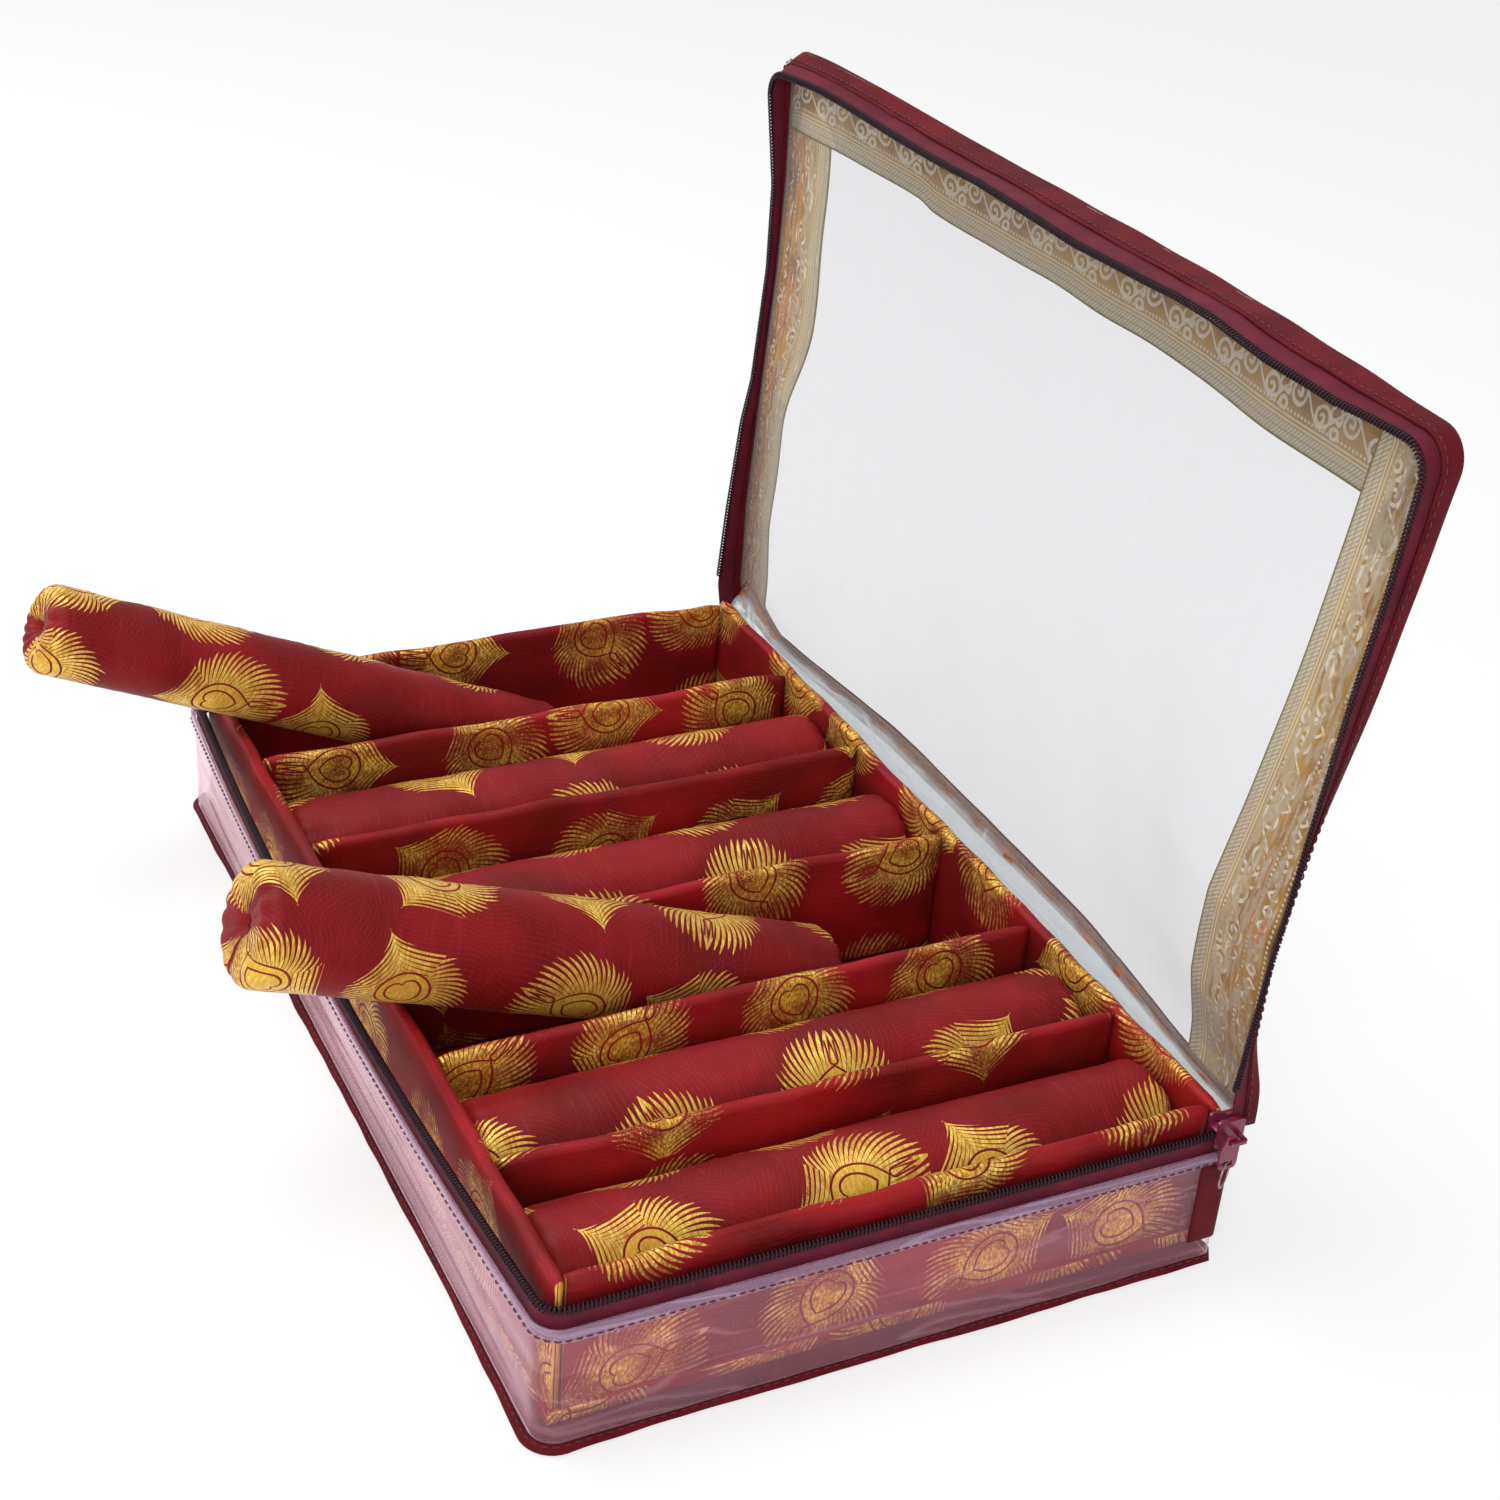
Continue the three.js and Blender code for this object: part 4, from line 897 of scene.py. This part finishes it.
def make_base_edging():
    back_x = np.linspace(HALF_LENGTH, -HALF_LENGTH, 130)[1:-1]
    at = np.vstack([case_rim.at, joined(back_x, 116.1)])
    loop = Rim(at, np.vstack([case_rim.out, np.tile([0.0, 1.0], (len(back_x), 1))]))
    section = np.array(
        [(0.35, 1.9), (0.7, 2.1), (1.1, 1.95), (1.5, 1.6), (1.9, 1.2), (2.2, 0.85), (2.2, 0.5), (1.9, 0.12),
         (1.4, 0.1), (0.9, 0.1), (0.5, 0.2), (0.35, 0.7), (0.3, 1.3)]
    )
    share = np.clip((section[:, 0] - 0.3) / 2.2, 0, 1)
    low = np.clip(section[:, 1] / 2.5, 0, 1)
    to_corner = np.linalg.norm(at - np.array([HALF_LENGTH, -CASE_FRONT]), axis=1)[:, None]
    wave, flutter = Unevenness(9, 70), Unevenness(10, 18)

    def shift(along, around):
        flare = 1.6 * np.exp(-((to_corner / 26) ** 2))
        spread = 0.6 * wave(along, 0.0) + 0.25 * flutter(along, 0.0) + 0.3 + flare
        lift = 0.5 * wave(along + 200, 0.0) + 0.2 * flutter(along + 50, 0.0)
        return share[around] * spread, low[around] * lift

    ring = swept(loop, on_case, section, shift)
    shape = Shape().grid(np.concatenate([ring, ring[:1]]), around=True)
    shape.made("base_edging", edge_cloth, "case", "base_cloth", "base_binding")
    seam_at = np.array([(1.15, 1.85)])
    seam = swept(loop, on_case, seam_at, lambda along, around: shift(along, around + 2))[:, 0]
    make_stitches("edging_stitches", "case", "base_cloth", seam, loop.outward(0.5), pitch=3.4)


def make_back_wall():
    """The cloth back wall turns at each end on to the clear end wall, and is lower there, under the hem."""
    edge, turn_start, turn_end = 186.5, 192.4, 193.0
    low_top, high_top, raised_foot, foot_height = 41.3, 52.6, 10.3, 2.9
    turned = np.linspace(105.3, 114.4, 5)
    xs = np.concatenate([
        np.full(5, -turn_end), -np.linspace(turn_start, edge, 4), np.linspace(-edge + 3, edge - 3, 110),
        np.linspace(edge, turn_start, 4), np.full(5, turn_end),
    ])[:, None]
    corner, flat = np.full(4, 115.5), np.full(110, 115.6)
    ys = np.concatenate([turned, corner, flat, corner, turned[::-1]])[:, None]
    top = np.where(np.abs(xs) > edge - 1, low_top, high_top)
    foot = np.where(np.abs(xs) > edge + 1, raised_foot, foot_height)
    z = foot + (top - foot) * np.linspace(0.0, 1.0, 16)[None, :]
    points = joined(xs, ys + 0.25 * Unevenness(12, 45)(xs, z) * (np.abs(xs) < edge), z)
    shape = Shape().grid(points)
    wall = shape.made("back_wall_cloth", edge_cloth, "case", "edge_cloth", "back_wall", thickness=0.9)


# Lid.

lid_rim = rounded_rim(HALF_LENGTH, LID_REACH, -0.3, LID_RADIUS)


def corner_inset(x, half):
    """How far a rounded corner of the lid falls back from its straight edge."""
    past = np.maximum(np.abs(x) - (half - LID_RADIUS), 0)
    return LID_RADIUS - np.sqrt(np.maximum(LID_RADIUS**2 - past**2, 0))


def corner_climb(x, height):
    """How far the hinge strip is gathered up the panel at its far corner."""
    return 13 * eased(-x, 148, 185) * (height / LID_DEPTH) ** 1.6


def make_window():
    half, near, far = 191.0, 0.5, LID_REACH - 0.3
    xs = np.linspace(-half, half, 90)[:, None]
    share = np.linspace(0, 1, 60)[None, :]
    away = near + (far - near) * share + lid_bow(xs) * eased(share, 0.5, 1.0)
    away = away - corner_inset(xs, half) * eased(share, 0.9, 1.0)
    points = on_lid(xs, away, LID_DEPTH - 0.5 + 0.5 * Unevenness(20, 70)(xs, away) * eased(away, 0, 30))
    shape = Shape().grid(points, joined(xs, away))
    sheet = shape.made("window_sheet", window_film, "lid", "film", "lid_window", thickness=0.5)


def lace_strip(name, node, material, points, along, across):
    """One strip of the border, with its cloth places along it and across it, in mm."""
    shape = Shape().grid(points, joined(along, across))
    return shape.made(name, material, "lid", "lace", node, thickness=0.4)


def make_laces():
    """The border of the lid's panel. Of the strip along the hinge only an edge shows, which is given back."""
    wavy = Unevenness(31, 55)
    across = np.linspace(0, LACE_WIDTH, 14)[None, :]
    xs = np.linspace(-PANEL_HALF, PANEL_HALF, 150)[:, None]
    outer = LID_REACH - 0.6 + lid_bow(xs) - corner_inset(xs, PANEL_HALF)
    step = 1.6 * (1 - eased(xs, -102, -92)) - 2.6 * np.exp(-(((xs - 105) / 35) ** 2))
    inner = LID_REACH - 31.8 + lid_bow(xs) * 0.85 + 0.5 * wavy(xs, 0.0) + step
    away = outer + (inner - outer) * across / LACE_WIDTH
    points = on_lid(xs, away, LID_DEPTH + 0.9 + 0.2 * wavy(xs, across))
    strip = lace_strip("front_lace", "lid_lace_front", lace_woven, points, xs + 200, across)

    ends = (1, "near", lace_near, 3, 0.35), (-1, "far", lace_far, 18, 1.3)
    for side, name, material, reach, height in ends:
        away = np.linspace(0.8, LID_REACH - reach, 100)[:, None]
        if side > 0:
            width = 1 + 0.18 * (1 - eased(away, 40, 110))
        else:
            width = 0.68 + 0.32 * eased(away, 90, 140) + 0.04 * wavy(away, 60.0)
        edge = PANEL_HALF - corner_inset(away - LID_REACH + PANEL_HALF + 0.6, PANEL_HALF)
        x = side * (edge - across * width)
        points = on_lid(x, away, LID_DEPTH + height + 0.3 * wavy(away, across + 40 * side))
        strip = lace_strip(f"{name}_lace", f"lid_lace_{name}", material, points, away + 500 * side, across)

    xs = np.linspace(-HINGE_HALF, HINGE_HALF, 140)[:, None]
    start = 14.5 + 4.5 * eased(xs, -110, 150) + 0.5 * wavy(xs, 9.0)
    height = np.minimum(start + (25.3 - start) * np.linspace(0, 1.3, 13)[None, :], 25.4)
    turned_up = np.concatenate([np.zeros(10), np.linspace(0.6, 2.2, 3)])[None, :]
    points = on_lid(xs, corner_climb(xs, height) - 0.6 + turned_up, height)
    return lace_strip("hinge_lace", "lid_lace_hinge", lace_back, points, xs + 900, height - 9.0 + turned_up)


def make_lid_edging():
    """Dark cloth round the lid's free edges, turned over on to the panel."""
    section = np.array(
        [(-0.7, 12.4), (-0.2, 12.1), (0.2, 12.6), (0.3, 17.0), (0.25, 22.0), (0.1, 24.6), (-0.4, 25.9),
         (-1.5, 26.5), (-4.0, 26.6), (-6.6, 26.4), (-6.8, 25.9), (-6.5, 25.5), (-4.0, 25.6), (-1.7, 25.5),
         (-1.0, 25.0), (-0.75, 24.0), (-0.7, 20.0)]
    )
    wave, lump = Unevenness(40, 60), Unevenness(41, 20)

    def shift(along, around):
        return 0.35 * wave(along, around * 1.5) - 0.35, 0.35 * lump(along, 0.0) * (around < 3)

    shape = Shape().tube(swept(lid_rim, on_lid_rim, section, shift))
    edging = shape.made("lid_edging", edge_cloth, "lid", "edge_cloth", "lid_edge_band")
    seam, beyond = (on_lid_rim(lid_rim, out, 14.0)[:, 0] for out in (0.2, 1.2))
    make_stitches("lid_edging_stitches", "lid", "edge_cloth", seam, beyond - seam)


def make_upper_zip():
    shift = rippled(Unevenness(44, 22), 0.08, 0.12, 90)
    points = swept(lid_rim, on_lid_rim, loop_band(-2.1, -1.1, 2.1, 15.8), shift)
    tape = Shape().tube(points).made("upper_tape", tape_cloth, "lid", "tape", "upper_zip_tape")
    chosen = lid_rim.at[:, 1] < -15
    rim = Rim(lid_rim.at[chosen], lid_rim.out[chosen])
    line, beyond, above = (
        on_lid_rim(rim, out, up)[:, 0]
        for out, up in ((-1.6, LID_COIL_HEIGHT), (-0.6, LID_COIL_HEIGHT), (-1.6, LID_COIL_HEIGHT + 1))
    )
    make_coil("upper_coil", "upper_zip_chain", "lid", line, beyond - line, above - line)


def make_hinge_film():
    """The clear strip that joins the lid to the case's back wall, shaped once for the open lid."""
    xs = np.linspace(-HINGE_HALF, HINGE_HALF, 150)[:, None]
    # Up the back wall to the lid, as (y, z).
    path = ((115.0, 44.0), (115.0, 47.5), (115.2, 50.0), (115.9, 51.8), (117.0, 52.7))
    wave, crumple = Unevenness(50, 16), Unevenness(51, 60)
    rough = 0.35 + 0.7 * eased(-xs, 140, 178)
    grid = [joined(xs, y, z)[:, 0] for y, z in path]
    for height in np.linspace(2.0, LID_DEPTH - 0.2, 12):
        lift = rough * wave(xs, height) + 0.3 * crumple(xs, 0.0) - 0.2 + corner_climb(xs, height)
        grid.append(on_lid(xs, lift, height)[:, 0])
    shape = Shape().grid(np.stack(grid, 1))
    strip = shape.made("hinge_strip", hinge_film, None, "film", "lid_back_film", thickness=0.5)
    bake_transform(strip)


def make_lid_back_edging():
    section = np.array(
        [(-0.9, 20.0), (-1.6, 20.0), (-1.9, 21.0), (-1.9, 25.0), (-1.5, 26.2), (-0.6, 26.6), (2.0, 26.6),
         (2.4, 26.2), (2.3, 25.8), (0.0, 25.7), (-0.9, 25.2)]
    )[None]
    half = 184.5
    xs = np.linspace(-half, half, 120)[:, None]
    wave = Unevenness(60, 40)
    points = on_lid(xs, section[..., 0] + 0.15 * wave(xs, 0.0), section[..., 1] + 0.15 * wave(xs, 5.0))
    edging = Shape().tube(points).made("lid_back_edging", edge_cloth, "lid", "edge_cloth", "lid_back_binding")


# Tray.


def board_section(thickness, top, steps=7):
    """A padded board across: (sideways, up) points, with a round top and slightly full sides."""
    half, low = thickness / 2, TRAY_FOOT
    heights = [low + (top - low - half) * share for share in np.linspace(0.1, 0.92, steps)]
    points = [(-half + 0.4, low), (0.0, low), (half - 0.4, low), (half, low + 0.5)]
    points += [(half, height) for height in heights]
    for angle in np.radians(np.linspace(0, 180, 9)):
        points.append((half * math.cos(angle), top - half + half * math.sin(angle)))
    points += [(-half, height) for height in heights[::-1]]
    return np.array(points + [(-half, low + 0.5)])


def make_board(name, node, thickness, top, reach, middle, seed, along_x, end_fold=0.0):
    """A padded board from -reach to reach, its middle line at middle, along x or along y."""
    section = board_section(thickness, top)
    length, pad = 2 * reach, 0.45
    share = np.linspace(0, 1, max(30, int(length / 2.5)))[:, None]
    near_end = np.minimum(share, 1 - share) * length
    squeeze = 1 - 0.32 * (1 - eased(near_end, 0, 4)) - end_fold * (1 - eased(near_end, 2, 16))
    wave, quilt, crest = Unevenness(seed, 35), Unevenness(seed + 1, 28), Unevenness(seed + 2, 60)
    along = -reach + length * share
    side, up = section[None, :, 0], section[None, :, 1]
    height_share = np.clip((up - TRAY_FOOT) / (top - TRAY_FOOT), 0, 1)
    full = np.sin(math.pi * height_share) ** 0.5
    sideways = side * (squeeze + 0.02 * wave(along, up))
    sideways = sideways - np.sign(side) * pad * (0.5 - 0.5 * quilt(along, up)) * full * 0.6
    crease_at = top - 9 + 3 * quilt(along, 50.0)
    crease = np.exp(-(((up - crease_at) / 1.5) ** 2)) * (1 - eased(near_end, 6, 48))
    sideways = sideways - np.sign(side) * 0.7 * crease
    sag = 0.8 * crest(along, 0.0) - 0.8
    z = up + height_share**3 * (sag - 0.8 * (1 - eased(near_end, 0, 5)))
    across = middle + sideways + 0.6 * wave(along, 90.0) * height_share
    points = joined(along, across, z) if along_x else joined(across, along, z)
    cut_from = np.random.default_rng(seed).uniform(0, 900, 2)
    shape = Shape().tube(points, laid_flat(points, True) + cut_from, turned=along_x)
    shape.made(name, board_cloth, "tray", "satin", node)


def make_floor_pad():
    """The padded floor sinks a little under each divider and at its edges."""
    xs = np.linspace(-TRAY_HALF_LENGTH, TRAY_HALF_LENGTH, 150)[:, None]
    ys = np.linspace(-TRAY_HALF_DEPTH, TRAY_HALF_DEPTH, 80)[None, :]
    second = 131.7  # beside the first divider, whose dip is wider than the others'
    dip = sum(np.exp(-(((xs - x) / 4.0) ** 2)) for x in (second, *DIVIDERS))
    inside = eased(np.minimum(TRAY_HALF_LENGTH - np.abs(xs), TRAY_HALF_DEPTH - np.abs(ys)), 0, 4)
    crown = 0.15 * Unevenness(70, 30)(xs, ys)
    top = joined(xs, ys, 9.6 - 0.35 * np.minimum(dip, 1) - 1.1 * (1 - inside) + crown)
    under = joined(xs, ys, 2.9 + 0.9 * (1 - inside))
    shape = Shape().grid(top).grid(under, turned=True)
    for rows, columns in ((0, slice(None)), (-1, slice(None)), (slice(None), 0), (slice(None), -1)):
        low, high = under[rows, columns], top[rows, columns]
        shape.grid(np.stack([low + (high - low) * share for share in np.linspace(0, 1, 5)], 1))
    shape.made("tray_floor_pad", board_cloth, "tray", "satin", "tray_floor")


def make_tray():
    make_floor_pad()
    walls = (
        ("front", 186.4, -112.25, 100), ("back", 186.4, 112.25, 110),
        ("near", BOARD_REACH, 184.25, 120), ("far", BOARD_REACH, -184.25, 130),
    )
    for side, reach, middle, seed in walls:
        names = f"tray_{side}_board", f"tray_{side}_wall"
        make_board(*names, WALL_THICKNESS, WALL_TOP, reach, middle, seed, side in ("front", "back"))
    for number, middle in enumerate(DIVIDERS, 1):
        names = f"divider_board_{number}", f"divider_{number}"
        seed = 140 + 10 * number
        make_board(*names, DIVIDER_THICKNESS, DIVIDER_TOP, BOARD_REACH, middle, seed, False, end_fold=0.12)


# Rods.


def make_rod(number):
    """A card tube's satin sleeve, pleated into both ends round a small hole."""
    radius = ROD_DIAMETERS[number - 1] / 2
    tilt = math.radians(ROD_TILTS.get(number, 0.0))
    axis = np.array([0.0, -math.cos(tilt), math.sin(tilt)])
    rise = np.array([0.0, math.sin(tilt), math.cos(tilt)])
    side = np.array([1.0, 0.0, 0.0])
    middle = np.array(ROD_PIVOTS[number - 1]) + PIVOT_TO_MIDDLE * axis + (radius - PIVOT_HEIGHT) * rise

    # The gathered end as (distance along, radius): the hole's rim, the pleated face and the round shoulder.
    shoulder = 6.0
    end = [(4.2, 2.0), (3.4, 2.6), (2.2, 3.6), (1.3, 5.0), (0.8, 7.0), (0.45, 9.0), (0.2, radius - 7.5)]
    for angle in np.radians(np.linspace(0, 90, 9)):
        end.append((shoulder - shoulder * math.cos(angle), radius - shoulder + shoulder * math.sin(angle)))
    end = np.array(end)
    columns = 96
    straight = np.linspace(8.5, ROD_LENGTH - 8.5, columns)
    along = np.concatenate([end[:, 0], straight, ROD_LENGTH - end[::-1, 0]])[:, None]
    wide = np.concatenate([end[:, 1], np.full(columns, radius), end[::-1, 1]])[:, None]
    around = np.linspace(0, 2 * math.pi, columns, endpoint=False)[None, :]

    from_end = np.minimum(along, ROD_LENGTH - along)
    pleat_room = np.where(from_end < 8, eased(wide, 2.0, 8.0), 1 - eased(from_end, 8, 30))
    chance = np.random.default_rng(300 + number)
    warp = Unevenness(310 + number, 1.2)
    folds = chance.integers(13, 17)
    angle = around + 0.25 * np.sin(around + chance.uniform(0, 6))
    pleats = 0.5 + 0.5 * np.cos(folds * angle + 0.02 * along + chance.uniform(0, 6))
    pleats = pleats**2 * (0.7 + 0.3 * warp(around, 0.0))
    slack, fine = Unevenness(320 + number, 40, stretch=0.8), Unevenness(330 + number, 14, stretch=0.35)
    arc = around * radius
    loose = (0.35 * slack(along, arc) + 0.12 * fine(along, arc)) * np.sin(around / 2) ** 0.5
    inset = 0.32 * pleats * pleat_room + np.maximum(loose + 0.25, 0) * eased(from_end, 0, 12)
    r = wide - inset * np.clip(wide / radius, 0, 1)
    dent = 0.9 * pleats * np.where(from_end < 6, eased(wide, 2, 9), 0)
    length = along + np.where(along < ROD_LENGTH / 2, dent, -dent)

    turn = around + math.pi / 2 * 3  # from the seam, underneath
    points = (
        middle
        + (length - ROD_LENGTH / 2)[..., None] * axis
        + (r * np.cos(turn))[..., None] * side
        + (r * np.sin(turn))[..., None] * rise
    )
    down = running(np.hypot(np.diff(along[:, 0]), np.diff(wide[:, 0])))
    girth = 2 * math.pi * radius
    offset = chance.uniform(0, 400, 2)
    over = np.linspace(0, girth, around.size + 1)
    cloth = np.stack(np.meshgrid(down + offset[0], over + offset[1], indexing="ij"), 2)
    shape = Shape().grid(points, cloth, around=True)
    rod = f"rod_{number}"
    sleeve = shape.made(f"{rod}_sleeve", satin, rod, "satin", f"{rod}_cover", thickness=0.8, offset=-1.0)


# Stage.


def make_stage():
    """A pale floor that looks evenly lit to the camera, and soft light from all round."""
    paint = Paint("floor_white", (0.88, 0.88, 0.885, 1.0), 0.75, Specular_IOR_Level=0.2)
    seen = paint.node("LightPath").outputs
    camera, glossy, through = (
        Number(paint.tree, seen[f"Is {kind} Ray"]) for kind in ("Camera", "Glossy", "Transmission")
    )
    most_glow = 0.68
    share = paint.calc("MAXIMUM", paint.calc("MAXIMUM", camera, glossy), through) * most_glow
    glow = paint.node("Emission", {"Color": (1, 1, 1, 1), "Strength": 1.0})
    paint.mix_shaders(share, paint.shader, glow)
    mesh = bpy.data.meshes.new("floor")
    half = 4.0
    corners = [(-half, -half, 0), (half, -half, 0), (half, half, 0), (-half, half, 0)]
    mesh.from_pydata(corners, [], [(0, 1, 2, 3)])
    floor = bpy.data.objects.new("floor", mesh)
    floor.location.z = -0.2 * MM  # clear of the case's underside
    mesh.materials.append(paint.material)
    link(floor)

    world = bpy.data.worlds.new("studio")
    bpy.context.scene.world = world
    world.use_nodes = True
    light = world.node_tree.nodes["Background"].inputs
    light["Color"].default_value, light["Strength"].default_value = (1.0, 1.0, 1.0, 1.0), 0.55


def make_lamp(name, place, target, size, power):
    data = bpy.data.lights.new(name, "AREA")
    data.shape, data.size, data.size_y = "RECTANGLE", *size
    data.energy = power
    lamp = bpy.data.objects.new(name, data)
    lamp.location = place
    lamp.rotation_mode = "QUATERNION"
    lamp.rotation_quaternion = (Vector(target) - Vector(place)).to_track_quat("-Z", "Y")
    link(lamp)


def dressed(node, material):
    """A CAD node that keeps its own shape, in its material."""
    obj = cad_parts[node]
    obj.data.materials.clear()
    obj.data.materials.append(material)
    return obj


def round_edges(obj, width=0.12, segments=2):
    """Rounds the edges of a hard piece a little, in mm."""
    for polygon in obj.data.polygons:
        polygon.use_smooth = False
    step = obj.modifiers.new("edges", "BEVEL")
    step.width, step.segments = width * MM, segments
    step.limit_method, step.angle_limit = "ANGLE", math.radians(40)


make_camera()
make_stage()
make_lamp("overhead", (-0.25, -0.25, 1.5), (0, 0, 0.05), (1.1, 0.9), 15)
make_lamp("left_window", (-1.3, -0.9, 0.9), (0, 0, 0.08), (0.9, 0.7), 8)
make_lamp("near_fill", (1.3, -0.8, 0.8), (0.05, 0, 0.1), (0.9, 0.9), 12)

make_case_film()
make_lower_zip()
make_base()
make_base_edging()
make_back_wall()
make_window()
hinge_ribbon = make_laces()
make_lid_edging()
make_upper_zip()
make_hinge_film()
make_lid_back_edging()
make_tray()
for rod_number in range(1, 7):
    make_rod(rod_number)
    dressed(f"rod_{rod_number}_tube", card)
for metal_node, metal in (("slider_body", enamel), ("puller_tab", enamel), ("puller_ring", wire)):
    round_edges(dressed(metal_node, metal))

bpy.context.scene.view_settings.view_transform = "Standard"
